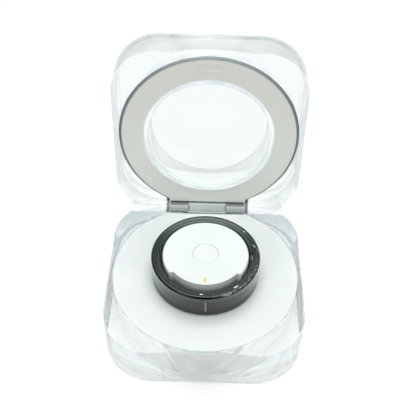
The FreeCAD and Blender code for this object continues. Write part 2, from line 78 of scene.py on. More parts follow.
class Flat(Enum):
    """Shaders of one plain colour: the node's type and the name of its output."""

    CLEAR = ("ShaderNodeBsdfTransparent", "BSDF")
    MATT = ("ShaderNodeBsdfDiffuse", "BSDF")
    GLOW = ("ShaderNodeEmission", "Emission")
    ROOM = ("ShaderNodeBackground", "Background")


class Signal:
    """One output socket of a shader node, so that maths on it reads as an expression."""

    def __init__(self, graph: "Graph", socket: bpy.types.NodeSocket) -> None:
        """Keep the socket and the graph that it belongs to."""
        self.graph = graph
        self.socket = socket

    def _math(self, operation: str, left: "Signal | Number", right: "Signal | Number") -> "Signal":
        """Add one Math node."""
        made = self.graph.node("ShaderNodeMath", {"operation": operation}, {0: left, 1: right})
        return made["Value"]

    def __add__(self, other: "Signal | Number") -> "Signal":
        """Sum of two values."""
        return self._math("ADD", self, other)

    __radd__ = __add__

    def __sub__(self, other: "Signal | Number") -> "Signal":
        """This value less another."""
        return self._math("SUBTRACT", self, other)

    def __rsub__(self, other: Number) -> "Signal":
        """A number less this value."""
        return self._math("SUBTRACT", other, self)

    def __mul__(self, other: "Signal | Number") -> "Signal":
        """Product of two values."""
        return self._math("MULTIPLY", self, other)

    __rmul__ = __mul__

    def __truediv__(self, other: "Signal | Number") -> "Signal":
        """This value over another."""
        return self._math("DIVIDE", self, other)

    def __rtruediv__(self, other: Number) -> "Signal":
        """A number over this value."""
        return self._math("DIVIDE", other, self)

    def __pow__(self, other: Number) -> "Signal":
        """This value to a power."""
        return self._math("POWER", self, other)

    def __rpow__(self, other: Number) -> "Signal":
        """A number to the power of this value."""
        return self._math("POWER", other, self)

    def higher(self, other: "Signal | Number") -> "Signal":
        """The larger of two values."""
        return self._math("MAXIMUM", self, other)

    def angle_to(self, other: "Signal") -> "Signal":
        """Angle whose tangent is this value over the other, in radians."""
        return self._math("ARCTAN2", self, other)

    def hypot(self, other: "Signal") -> "Signal":
        """Length of the two values as the sides of a right angle."""
        return (self * self + other * other) ** 0.5

    def step(self, low: float, high: float) -> "Signal":
        """Smooth rise from 0 at low to 1 at high.

        Args:
            low: value where the rise starts.
            high: value where it ends.

        Returns:
            The mask, from 0 to 1.
        """
        made = self.graph.node(
            "ShaderNodeMapRange",
            {"interpolation_type": "SMOOTHSTEP"},
            {"Value": self, "From Min": low, "From Max": high},
        )
        return made["Result"]

    def step_mm(self, low: float, high: float) -> "Signal":
        """Smooth rise of a length in metres between two sizes in millimetres."""
        return self.step(low * MM, high * MM)

    def within_mm(self, low: float, high: float, soft: float) -> "Signal":
        """Mask of a length in metres that is 1 between two sizes in millimetres, with soft ends."""
        return self.step_mm(low - soft, low) * (1 - self.step_mm(high, high + soft))


class Made:
    """A shader node just added, giving its outputs as signals."""

    def __init__(self, graph: "Graph", node: bpy.types.Node) -> None:
        """Keep the node and its graph."""
        self.graph = graph
        self.node = node

    def __getitem__(self, name: str) -> Signal:
        """The output of that name."""
        return Signal(self.graph, self.node.outputs[name])


class Graph:
    """A node tree that is being filled."""

    def __init__(self, tree: bpy.types.NodeTree) -> None:
        """Empty the tree and keep it."""
        self.tree = tree
        tree.nodes.clear()

    def node(
        self,
        kind: str,
        settings: dict[str, Any] | None = None,
        sockets: dict[str | int, Any] | None = None,
    ) -> Made:
        """Add one node.

        Args:
            kind: Blender's type name of the node.
            settings: properties that are set first; "stops" fills a colour ramp.
            sockets: values, or signals to link, by input name or number.

        Returns:
            The node, with its outputs as signals.
        """
        made = self.tree.nodes.new(kind)
        for name, value in (settings or {}).items():
            if name == "stops":
                self._fill_ramp(made.color_ramp, value)
            else:
                setattr(made, name, value)
        for name, value in (sockets or {}).items():
            if isinstance(value, Signal):
                self.tree.links.new(value.socket, made.inputs[name])
            else:
                made.inputs[name].default_value = value
        return Made(self, made)

    @staticmethod
    def _fill_ramp(ramp: bpy.types.ColorRamp, stops: Sequence[tuple[float, Rgb]]) -> None:
        """Give a ramp its stops.

        Args:
            ramp: the ramp of a node just made, with its two first stops.
            stops: place and colour of each stop, in order.
        """
        while len(ramp.elements) < len(stops):
            ramp.elements.new(1.0)
        for element, (place, colour) in zip(ramp.elements, stops):
            element.position = place
            element.color = (*colour, 1.0)

    def place(self) -> Signal:
        """Point on the surface, in metres in the case's own frame."""
        return self.node("ShaderNodeTexCoord")["Object"]

    def shut_place(self) -> Signal:
        """Point on a lid piece, in metres, as it lies when the lid is shut.

        Returns:
            The point.
        """
        turn = {"Center": (0.0, HINGE_Y * MM, HINGE_Z * MM), "Angle": math.radians(OPEN_DEG)}
        sockets = {"Vector": self.place(), **turn}
        return self.node("ShaderNodeVectorRotate", {"rotation_type": "X_AXIS"}, sockets)["Vector"]

    def axes(self, point: Signal) -> tuple[Signal, Signal, Signal]:
        """X, Y and Z of a point."""
        split = self.node("ShaderNodeSeparateXYZ", None, {"Vector": point})
        return split["X"], split["Y"], split["Z"]

    def vector(self, x: Signal | Number, y: Signal | Number, z: Signal | Number) -> Signal:
        """Point made from three values."""
        return self.node("ShaderNodeCombineXYZ", None, {"X": x, "Y": y, "Z": z})["Vector"]

    def noise(self, point: Signal, grain: Grain) -> Signal:
        """Cloudy noise.

        Args:
            point: where it is read, in metres.
            grain: its size and make-up.

        Returns:
            The noise, around 0.5.
        """
        sockets = {
            "Vector": point,
            "Scale": 1 / (grain.size_mm * MM),
            "Detail": grain.detail,
            "Roughness": grain.roughness,
        }
        return self.node("ShaderNodeTexNoise", None, sockets)["Fac"]

    def spots(self, point: Signal, places: Sequence[Spot]) -> Signal:
        """Small round spots.

        Args:
            point: where they are read, in metres.
            places: middle and radius of each spot.

        Returns:
            The mask, from 0 to 1.
        """
        masks = []
        for middle, radius in places:
            ends = {0: point, 1: tuple(part * MM for part in middle)}
            away = self.node("ShaderNodeVectorMath", {"operation": "DISTANCE"}, ends)["Value"]
            masks.append(1 - away.step_mm(radius * SPOT_CORE, radius))
        together = masks[0]
        for mask in masks[1:]:
            together = mask.higher(together)
        return together

    def blend(self, mask: Signal, low: Rgb, high: Rgb) -> Signal:
        """Colour that goes from low to high with the mask."""
        return self.node("ShaderNodeValToRGB", {"stops": [(0.0, low), (1.0, high)]}, {"Fac": mask})["Color"]

    def cover(self, mask: Signal, under: Signal, over: Rgb) -> Signal:
        """A colour with another laid over it.

        Args:
            mask: 1 where the upper colour hides the lower.
            under: the lower colour.
            over: the upper colour.

        Returns:
            The colour.
        """
        made = self.node(
            "ShaderNodeMix",
            {"data_type": "RGBA"},
            {"Factor": mask, "A": under, "B": (*over, 1.0)},
        )
        return made["Result"]

    def bump(self, height: Signal, depth_mm: float, strength: float) -> Signal:
        """Surface normal bent by a height map of that depth."""
        sockets = {"Height": height, "Distance": depth_mm * MM, "Strength": strength}
        return self.node("ShaderNodeBump", None, sockets)["Normal"]

    def flat(self, kind: Flat, colour: Signal | Rgb, strength: float | None = None) -> Signal:
        """Shader of one plain colour.

        Args:
            kind: which shader.
            colour: its colour.
            strength: its output, for a shader that gives light.

        Returns:
            The shader.
        """
        sockets: dict[str | int, Any] = {"Color": colour if isinstance(colour, Signal) else (*colour, 1.0)}
        if strength is not None:
            sockets["Strength"] = strength
        node_type, output = kind.value
        return self.node(node_type, None, sockets)[output]

    def mixed(self, share: Signal | Number, first: Signal, second: Signal) -> Signal:
        """The first shader where the share is 0, the second where it is 1."""
        return self.node("ShaderNodeMixShader", None, {0: share, 1: first, 2: second})["Shader"]

    def added(self, first: Signal, second: Signal) -> Signal:
        """Two shaders added together."""
        return self.node("ShaderNodeAddShader", None, {0: first, 1: second})["Shader"]

    def principled(self, sockets: dict[str | int, Any]) -> Signal:
        """Principled shader with those values and links."""
        return self.node("ShaderNodeBsdfPrincipled", None, sockets)["BSDF"]

    def surface(self, shader: Signal) -> None:
        """Make a shader the surface of the material."""
        self.node("ShaderNodeOutputMaterial", None, {"Surface": shader})


MATERIALS: dict[str, bpy.types.Material] = {}


def darker(colour: Rgb, share: float) -> Rgb:
    """A colour with each part cut to a share."""
    return tuple(part * share for part in colour)


def spread(half: float, steps: int) -> list[float]:
    """Even steps from minus half to half, both ends included."""
    return [half * (2 * k / steps - 1) for k in range(steps + 1)]


def arc(start_deg: float, sweep_deg: float, steps: int) -> list[tuple[float, float]]:
    """X and Y at even steps along an arc of radius 1, both ends included."""
    angles = [math.radians(start_deg + sweep_deg * k / steps) for k in range(steps + 1)]
    return [(math.cos(angle), math.sin(angle)) for angle in angles]


def full_turn(steps: int) -> list[tuple[float, float]]:
    """X and Y at even steps round a circle of radius 1."""
    return arc(0.0, 360.0, steps)[:-1]


def quarter_round(radius: float, steps: int) -> list[tuple[float, float]]:
    """Insets of a rounded edge from its two faces: the first falls to 0 as the second rises from 0."""
    return [(radius * (1 - up), radius * (1 - along)) for along, up in arc(0.0, 90.0, steps)]


def rim_spot(turn_deg: float, radius: float, z: float, size: float) -> Spot:
    """Spot on the ring, placed by its angle from the front, its distance from the axis and its height."""
    turn = math.radians(turn_deg)
    return (radius * math.sin(turn), -radius * math.cos(turn), z), size


# Painted glints: small pale spots on the ring's rim and lining that stand in for lamp highlights; middle
# and radius in millimetres.
RIM_GLINTS: tuple[Spot, ...] = (
    rim_spot(-4.4, 12.2, 20.15, 0.28),
    rim_spot(-2.4, 12.2, 20.15, 0.24),
    rim_spot(35.8, 12.2, 20.15, 0.26),
    rim_spot(37.8, 12.2, 20.15, 0.3),
    rim_spot(39.8, 12.2, 20.15, 0.24),
    rim_spot(106.0, 12.5, 20.25, 0.17),
    rim_spot(103.8, 12.6, 20.25, 0.16),
    rim_spot(99.0, 12.95, 20.27, 0.14),
    rim_spot(96.0, 13.1, 20.27, 0.12),
    rim_spot(130.0, 12.5, 20.25, 0.17),
)
# Painted glints: dull amber spots on the lining's slope at the right-hand side.
SENSOR_GLINT: tuple[Spot, ...] = (rim_spot(91.0, 11.37, 19.8, 0.4), rim_spot(87.0, 11.37, 19.8, 0.4))
# Pale colour of the painted glints.
GLINT_TONE: Rgb = (0.92, 0.94, 0.93)
BLASTED = Grain(0.09)


@dataclass(frozen=True)
class Finish:
    """A surface finish; each kind paints its own nodes."""

    name: str

    def paint(self, graph: Graph) -> None:
        """Fill the material's nodes."""
        raise NotImplementedError

    def material(self) -> bpy.types.Material:
        """The finish as a material, made once.

        Returns:
            The material.
        """
        found = MATERIALS.get(self.name)
        if found is None:
            found = bpy.data.materials.new(self.name + "_finish")
            found.use_nodes = True
            self.paint(Graph(found.node_tree))
            MATERIALS[self.name] = found
        return found


@dataclass(frozen=True)
class ClearPlastic(Finish):
    """Polished clear plastic that lets light through to what is inside."""

    tint: Rgb = (0.985, 0.993, 0.992)
    smears: Grain = Grain(9.0, 3.0)
    smear_tint: float = 0.992
    smear_rise: Span = (0.45, 0.75)
    haze: float = 0.002
    index: float = 1.49
    trapped: float = 9.0
    passed: Rgb = (0.97, 0.98, 0.98)
    hollow_mm: float = 0.0
    hollow_soft_mm: float = 0.1
    satin: float = 0.16
    satin_mm: tuple[float, float, float] = (14.2, 23.0, 0.3)
    straight: float = 0.14
    face: Rgb = (0.967, 0.979, 0.978)
    # Painted edge shade: colour that the straight-through share takes at grazing angles, darker and bluer
    # than the face tint.
    rim: Rgb = (0.72, 0.775, 0.8)
    edge_shade_rise: Span = (0.55, 1.0)

    def roughness(self, graph: Graph, smear: Signal) -> Signal:
        """Faint haze, with a satin wall where there is a hollow.

        Args:
            graph: the material's graph.
            smear: pattern of the handling marks.

        Returns:
            The roughness.
        """
        haze = self.haze + self.haze * smear.step(*self.smear_rise)
        if not self.hollow_mm:
            return haze
        x, y, z = graph.axes(graph.shut_place())
        core = 1 - x.hypot(y).step_mm(self.hollow_mm, self.hollow_mm + self.hollow_soft_mm)
        return haze + self.satin * core * z.within_mm(*self.satin_mm)

    def paint(self, graph: Graph) -> None:
        """Polished skin that sends a share of the light straight on, that share darker and bluer at grazing
        angles as painted edge shade; shadow rays and trapped light pass.

        Args:
            graph: the material's graph.
        """
        smear = graph.noise(graph.place(), self.smears)
        body = graph.principled(
            {
                "Base Color": graph.blend(smear, darker(self.tint, self.smear_tint), self.tint),
                "Roughness": self.roughness(graph, smear),
                "IOR": self.index,
                "Transmission Weight": 1.0,
            }
        )
        # Painted edge shade: the straight-through share turns darker and bluer toward grazing angles.
        edge_shade = graph.node("ShaderNodeLayerWeight")["Facing"].step(*self.edge_shade_rise)
        thin = graph.mixed(edge_shade, graph.flat(Flat.CLEAR, self.face), graph.flat(Flat.CLEAR, self.rim))
        skin = graph.mixed(self.straight, body, thin)
        rays = graph.node("ShaderNodeLightPath")
        free = rays["Is Shadow Ray"].higher(rays["Ray Depth"].step(self.trapped - 1, self.trapped))
        graph.surface(graph.mixed(free, skin, graph.flat(Flat.CLEAR, self.passed)))


@dataclass(frozen=True)
class MouldedPlastic(Finish):
    """Opaque moulded plastic with a fine spark-eroded grain."""

    colour: Rgb = (0.9, 0.92, 0.915)
    shade: Rgb = (0.86, 0.885, 0.88)
    gloss: float = 0.38
    grain_mm: float = 0.12
    grain_depth_mm: float = 0.004
    grain_rough: float = 0.1
    grain_bump: float = 0.6
    drifts: Grain = Grain(14.0, 3.0, 0.55)
    drift_rise: Span = (0.3, 0.7)
    drift_rough: float = 0.06

    def paint(self, graph: Graph) -> None:
        """Slow colour drift, grain in the roughness and a shallow bump.

        Args:
            graph: the material's graph.
        """
        point = graph.place()
        drift = graph.noise(point, self.drifts)
        grain = graph.noise(point, Grain(self.grain_mm))
        sockets = {
            "Base Color": graph.blend(drift.step(*self.drift_rise), self.shade, self.colour),
            "Roughness": self.gloss + self.grain_rough * (grain - 0.5) + self.drift_rough * drift,
            "Normal": graph.bump(grain, self.grain_depth_mm, self.grain_bump),
        }
        graph.surface(graph.principled(sockets))


class Lay(Enum):
    """Which way the fine lines of a worked metal run."""

    AROUND_POST = "around the post"
    ALONG_HINGE = "along the hinge"
    BEAD_BLASTED = "no direction"


@dataclass(frozen=True)
class WorkedMetal(Finish):
    """Metal with fine lines or a blasted grain."""

    colour: Rgb = (0.5, 0.53, 0.53)
    shade: Rgb = (0.42, 0.45, 0.45)
    metal: float = 0.9
    gloss: float = 0.34
    lay: Lay = Lay.BEAD_BLASTED
    line_mm: float = 0.08
    depth_mm: float = 0.004
    drawn: float = 0.04
    turned: float = 0.0006
    line_rise: Span = (0.3, 0.7)
    line_share: float = 0.6
    line_rough: float = 0.12
    line_bump: float = 0.5
    drifts: Grain = Grain(6.0, 2.0, 0.5)
    drift_rough: float = 0.05

    def lines(self, graph: Graph) -> Signal:
        """Noise drawn out along the lay.

        Args:
            graph: the material's graph.

        Returns:
            The pattern, around 0.5.
        """
        point = graph.place()
        if self.lay is not Lay.BEAD_BLASTED:
            x, y, z = graph.axes(point)
            if self.lay is Lay.ALONG_HINGE:
                point = graph.vector(x * self.drawn, y, z)
            else:
                point = graph.vector(x.hypot(y), y.angle_to(x) * self.turned, z)
        return graph.noise(point, Grain(self.line_mm))

    def paint(self, graph: Graph) -> None:
        """Lines in colour, roughness and bump.

        Args:
            graph: the material's graph.
        """
        lines = self.lines(graph)
        drift = graph.noise(graph.place(), self.drifts)
        share = lines.step(*self.line_rise) * self.line_share + drift * (1 - self.line_share)
        sockets = {
            "Base Color": graph.blend(share, self.shade, self.colour),
            "Metallic": self.metal,
            "Roughness": self.gloss + self.line_rough * (lines - 0.5) + self.drift_rough * drift,
            "Normal": graph.bump(lines, self.depth_mm, self.line_bump),
        }
        graph.surface(graph.principled(sockets))


@dataclass(frozen=True)
class PlateMetal(Finish):
    """Champagne anodised plate with a fine blasted grain; painted light makes it paler toward the hinge,
    and a painted highlight runs along its inner edge.
    """

    # Painted light: the plate goes from the far colour to the paler near colour toward the hinge.
    far: Rgb = (0.845, 0.82, 0.755)
    near: Rgb = (0.93, 0.93, 0.88)
    # Painted highlight: pale colour inside this radius, along the plate's inner edge.
    edge: Rgb = (0.93, 0.94, 0.92)
    highlight_mm: float = 17.05
    highlight_soft_mm: float = 0.08
    painted_light_fade_mm: Span = (-18.0, 20.0)
    metal: float = 0.3
    gloss: float = 0.44
    drifts: Grain = Grain(9.0, 2.0, 0.5)
    drift_share: float = 0.25
    grain_share: float = 0.2
    grain_rough: float = 0.1
    grain_depth_mm: float = 0.004
    grain_bump: float = 0.5

    def paint(self, graph: Graph) -> None:
        """Slow change of colour over the plate, paler toward the hinge as painted light, a painted
        highlight along the inner edge, and grain in colour, roughness and bump.

        Args:
            graph: the material's graph.
        """
        point = graph.shut_place()
        x, y, _ = graph.axes(point)
        grain = graph.noise(point, BLASTED)
        drift = graph.noise(point, self.drifts)
        mottle = self.drift_share * (drift - 0.5) + self.grain_share * (grain - 0.5)
        # Painted light: paler toward the hinge.
        tone = graph.blend(y.step_mm(*self.painted_light_fade_mm) + mottle, self.far, self.near)
        # Painted highlight along the inner edge.
        bright = 1 - x.hypot(y).step_mm(self.highlight_mm, self.highlight_mm + self.highlight_soft_mm)
        sockets = {
            "Base Color": graph.cover(bright, tone, self.edge),
            "Metallic": self.metal,
            "Roughness": self.gloss + self.grain_rough * (grain - 0.5),
            "Normal": graph.bump(grain, self.grain_depth_mm, self.grain_bump),
        }
        graph.surface(graph.principled(sockets))


@dataclass(frozen=True)
class FrameMetal(Finish):
    """Blasted metal of the lid's frame: dark rim with painted shade along its outer edge, lighter knuckles
    with painted shade on the ledge before them, pale where it faces the hollow.
    """

    rim: Rgb = (0.26, 0.29, 0.29)
    rim_shade: float = 0.88
    # Painted shade: near-black colour along the rim's outer edge.
    rim_edge_shade: Rgb = (0.1, 0.115, 0.115)
    cheek: Rgb = (0.3, 0.34, 0.335)
    knuckle: Rgb = (0.56, 0.6, 0.595)
    knuckle_cover: float = 0.9
    # Painted shade on the ledge between the plate and the knuckles.
    painted_ledge_shade: Rgb = (0.26, 0.245, 0.24)
    wall: Rgb = (0.86, 0.88, 0.88)
    metal: float = 0.55
    gloss: float = 0.56
    soft_mm: float = 0.1
    rim_edge_shade_mm: float = 22.82
    step_mm: float = 21.5
    step_soft_mm: float = 0.06
    knuckle_start_mm: float = 20.9
    knuckle_half_mm: float = 10.3
    knuckle_soft_mm: float = 0.08
    wall_mm: Span = (18.4, 19.0)
    rim_back_mm: Span = (14.3, 14.45)
    lines: Grain = Grain(0.1)
    line_drawn: float = 0.05
    line_share: float = 0.2
    grain_rise: Span = (0.3, 0.7)
    grain_rough: float = 0.12
    grain_depth_mm: float = 0.004
    grain_bump: float = 0.5

    def worked(self, graph: Graph, point: Signal, grain: Signal) -> Signal:
        """Colour of the rim with painted shade at its outer edge, the cheeks, and the knuckles with painted
        shade on the ledge before them.

        Args:
            graph: the material's graph.
            point: place on the shut frame.
            grain: the blasted grain.

        Returns:
            The colour.
        """
        x, y, _ = graph.axes(point)
        radius = x.hypot(y)
        side = (x * x) ** 0.5
        lines = graph.noise(graph.vector(x * self.line_drawn, y, radius), self.lines)
        edge = radius.step_mm(self.rim_edge_shade_mm, self.rim_edge_shade_mm + self.soft_mm)
        back = y.step_mm(self.knuckle_start_mm - self.soft_mm, self.knuckle_start_mm)
        beside = side.step_mm(self.knuckle_half_mm, self.knuckle_half_mm + self.knuckle_soft_mm)
        knuckle = back * (1 - beside)
        ledge_shade_mask = knuckle * (1 - y.step_mm(self.step_mm, self.step_mm + self.step_soft_mm))
        tone = graph.blend(grain.step(*self.grain_rise), darker(self.rim, self.rim_shade), self.rim)
        # Painted shade along the rim's outer edge.
        tone = graph.cover(edge, tone, self.rim_edge_shade)
        tone = graph.cover(back, tone, self.cheek)
        shown = knuckle * (self.knuckle_cover + self.line_share * (lines - 0.5))
        tone = graph.cover(shown, tone, self.knuckle)
        # Painted shade on the ledge before the knuckles.
        return graph.cover(ledge_shade_mask, tone, self.painted_ledge_shade)

    def pale(self, graph: Graph, point: Signal) -> Signal:
        """Mask of the parts that face the hollow or the clear lid.

        Args:
            graph: the material's graph.
            point: place on the shut frame.

        Returns:
            The mask, from 0 to 1.
        """
        x, y, z = graph.axes(point)
        inside = 1 - x.hypot(y).step_mm(*self.wall_mm)
        front = 1 - y.step_mm(self.knuckle_start_mm, self.knuckle_start_mm + self.soft_mm)
        return inside.higher(z.step_mm(*self.rim_back_mm) * front)

    def paint(self, graph: Graph) -> None:
        """Zones by place on the shut frame, with grain in colour, roughness and bump.

        Args:
            graph: the material's graph.
        """
        point = graph.shut_place()
        grain = graph.noise(point, BLASTED)
        pale = self.pale(graph, point)
        sockets = {
            "Base Color": graph.cover(pale, self.worked(graph, point, grain), self.wall),
            "Metallic": self.metal * (1 - pale),
            "Roughness": self.gloss + self.grain_rough * (grain - 0.5),
            "Normal": graph.bump(grain, self.grain_depth_mm, self.grain_bump),
        }
        graph.surface(graph.principled(sockets))


@dataclass(frozen=True)
class WornBand(Finish):
    """Dark coated metal of the ring, rubbed bright in patches on its handled side, with painted glints on
    its rim and its outer chamfer painted near black as painted shade.
    """

    colour: Rgb = (0.04, 0.039, 0.033)
    line_shade: float = 0.82
    rim: Rgb = (0.05, 0.059, 0.057)
    # Painted shade: near-black colour of the outer chamfer, standing in for the dark line along it.
    edge: Rgb = (0.008, 0.009, 0.009)
    rubbed: Rgb = (0.42, 0.41, 0.38)
    sheen: Rgb = (0.86, 1.0, 0.95)
    metal: float = 0.95
    coat: float = 0.9
    gloss: float = 0.17
    outer_mm: float = 13.5
    high_mm: float = 20.27
    rim_drop_mm: Span = (0.32, 0.22)
    chamfer_shade_drop_mm: Span = (0.42, 0.36)
    chamfer_shade_inset_mm: Span = (0.4, 0.34)
    handled_drop_mm: Span = (0.7, 0.3)
    handled_x_mm: Span = (-1.0, 7.0)
    handled_y_mm: Span = (-4.0, 3.0)
    lines: Grain = Grain(0.06)
    line_turned: float = 0.0004
    line_rise: Span = (0.25, 0.75)
    line_rough: float = 0.1
    patches: Grain = Grain(1.3, 4.0, 0.65)
    patch_rise: Span = (0.36, 0.5)
    specks: Grain = Grain(0.2, 3.0, 0.7)
    speck_rise: Span = (0.55, 0.61)
    scratches: Grain = Grain(0.35, 3.0, 0.7)
    scratch_drawn: tuple[float, float] = (0.004, 3.0)
    scratch_rise: Span = (0.66, 0.74)
    uprights: Grain = Grain(0.25)
    upright_drawn: tuple[float, float] = (0.012, 0.15)
    upright_rise: Span = (0.62, 0.72)
    upright_share: float = 0.8
    mark_rise: Span = (0.46, 0.64)
    mark_share: float = 0.6
    worn_rough: float = 0.12
    worn_sunk: float = 0.6
    depth_mm: float = 0.006
    bump: float = 0.6

    def below_top(self, z: Signal, drop: Span) -> Signal:
        """Mask that rises between two distances below the top."""
        return z.step_mm(self.high_mm - drop[0], self.high_mm - drop[1])

    def worn(self, graph: Graph, point: Signal) -> Signal:
        """Mask of the rubbed specks on the handled side and of the scratches all round.

        Args:
            graph: the material's graph.
            point: place on the band.

        Returns:
            The mask, from 0 to 1.
        """
        x, y, z = graph.axes(point)
        radius, turn = x.hypot(y), y.angle_to(x)
        patches = graph.noise(point, self.patches)
        specks = graph.noise(point, self.specks).step(*self.speck_rise)
        handled = x.step_mm(*self.handled_x_mm) * self.below_top(z, self.handled_drop_mm)
        handled = handled * (1 - y.step_mm(*self.handled_y_mm))
        around, up = self.scratch_drawn
        scratch = graph.noise(graph.vector(turn * around, z * up, radius), self.scratches)
        around, up = self.upright_drawn
        upright = graph.noise(graph.vector(turn * around, z * up, radius), self.uprights)
        marks = scratch.step(*self.scratch_rise) + upright.step(*self.upright_rise) * self.upright_share
        marks = marks * patches.step(*self.mark_rise) * self.mark_share
        return (handled * specks * patches.step(*self.patch_rise)).higher(marks)

    def paint(self, graph: Graph) -> None:
        """Lines round the band, a chamfer painted near black as painted shade, rubbed patches, scratches
        and painted glints.

        Args:
            graph: the material's graph.
        """
        point = graph.place()
        x, y, z = graph.axes(point)
        radius = x.hypot(y)
        lines = graph.noise(graph.vector(radius, y.angle_to(x) * self.line_turned, z), self.lines)
        outer = radius.step_mm(*(self.outer_mm - inset for inset in self.chamfer_shade_inset_mm))
        top = self.below_top(z, self.rim_drop_mm) * (1 - outer)
        # Painted shade: the outer chamfer is painted near black.
        edge = outer * self.below_top(z, self.chamfer_shade_drop_mm)
        worn = self.worn(graph, point)
        # Painted glints: pale spots on the rim that stand in for lamp highlights.
        glints = graph.spots(point, RIM_GLINTS)
        tone = graph.blend(lines.step(*self.line_rise), darker(self.colour, self.line_shade), self.colour)
        tone = graph.cover(edge, graph.cover(top, tone, self.rim), self.edge)
        sockets = {
            "Base Color": graph.cover(glints, graph.cover(worn, tone, self.rubbed), GLINT_TONE),
            "Metallic": self.metal * (1 - glints),
            "Coat Weight": self.coat * (1 - edge.higher(top)) * (1 - worn),
            "Roughness": self.gloss + self.line_rough * (lines - 0.5) + self.worn_rough * worn,
            "Specular Tint": (*self.sheen, 1.0),
            "Normal": graph.bump(lines - worn * self.worn_sunk, self.depth_mm, self.bump),
        }
        graph.surface(graph.principled(sockets))


@dataclass(frozen=True)
class GlossResin(Finish):
    """Cast dark resin, glossy, with a little dust in it and painted glints on it."""

    colour: Rgb = (0.014, 0.019, 0.018)
    fleck: Rgb = (0.05, 0.055, 0.055)
    gloss: float = 0.07
    sheen: Rgb = (0.86, 1.0, 0.98)
    # Painted glint: dull amber colour of the spots at the right of the lining.
    amber: Rgb = (0.2, 0.19, 0.07)
    flecks: Grain = Grain(0.35, 3.0, 0.7)
    fleck_rise: Span = (0.64, 0.74)
    fleck_rough: float = 0.1
    streaks: Grain = Grain(0.22)
    streak_turned: float = 0.0008
    streak_rise: Span = (0.45, 0.65)
    streak_rough: float = 0.12
    streak_depth: float = 0.8
    waves: Grain = Grain(3.5, 2.0, 0.5)
    coat_low: float = 0.15
    coat_gain: float = 0.6
    coat_rise: Span = (0.44, 0.6)
    depth_mm: float = 0.012
    bump: float = 0.5

    def paint(self, graph: Graph) -> None:
        """Turned streaks and flecks in colour and roughness, painted glints in the colour, a clear coat,
        and soft waviness.

        Args:
            graph: the material's graph.
        """
        point = graph.place()
        x, y, z = graph.axes(point)
        turned = graph.vector(x.hypot(y), y.angle_to(x) * self.streak_turned, z)
        streaks = graph.noise(turned, self.streaks)
        flecks = graph.noise(point, self.flecks).step(*self.fleck_rise)
        wave = graph.noise(point, self.waves)
        tone = graph.blend(flecks, self.colour, self.fleck)
        # Painted glints: amber spots at the right of the lining.
        tone = graph.cover(graph.spots(point, SENSOR_GLINT), tone, self.amber)
        rough = self.gloss + self.fleck_rough * flecks + self.streak_rough * streaks.step(*self.streak_rise)
        sockets = {
            # Painted glints: pale spots where the lining meets the rim.
            "Base Color": graph.cover(graph.spots(point, RIM_GLINTS), tone, GLINT_TONE),
            "Roughness": rough,
            "Coat Weight": self.coat_low + self.coat_gain * streaks.step(*self.coat_rise),
            "Normal": graph.bump(wave + self.streak_depth * streaks, self.depth_mm, self.bump),
            "Specular Tint": (*self.sheen, 1.0),
            "Coat Tint": (*self.sheen, 1.0),
        }
        graph.surface(graph.principled(sockets))


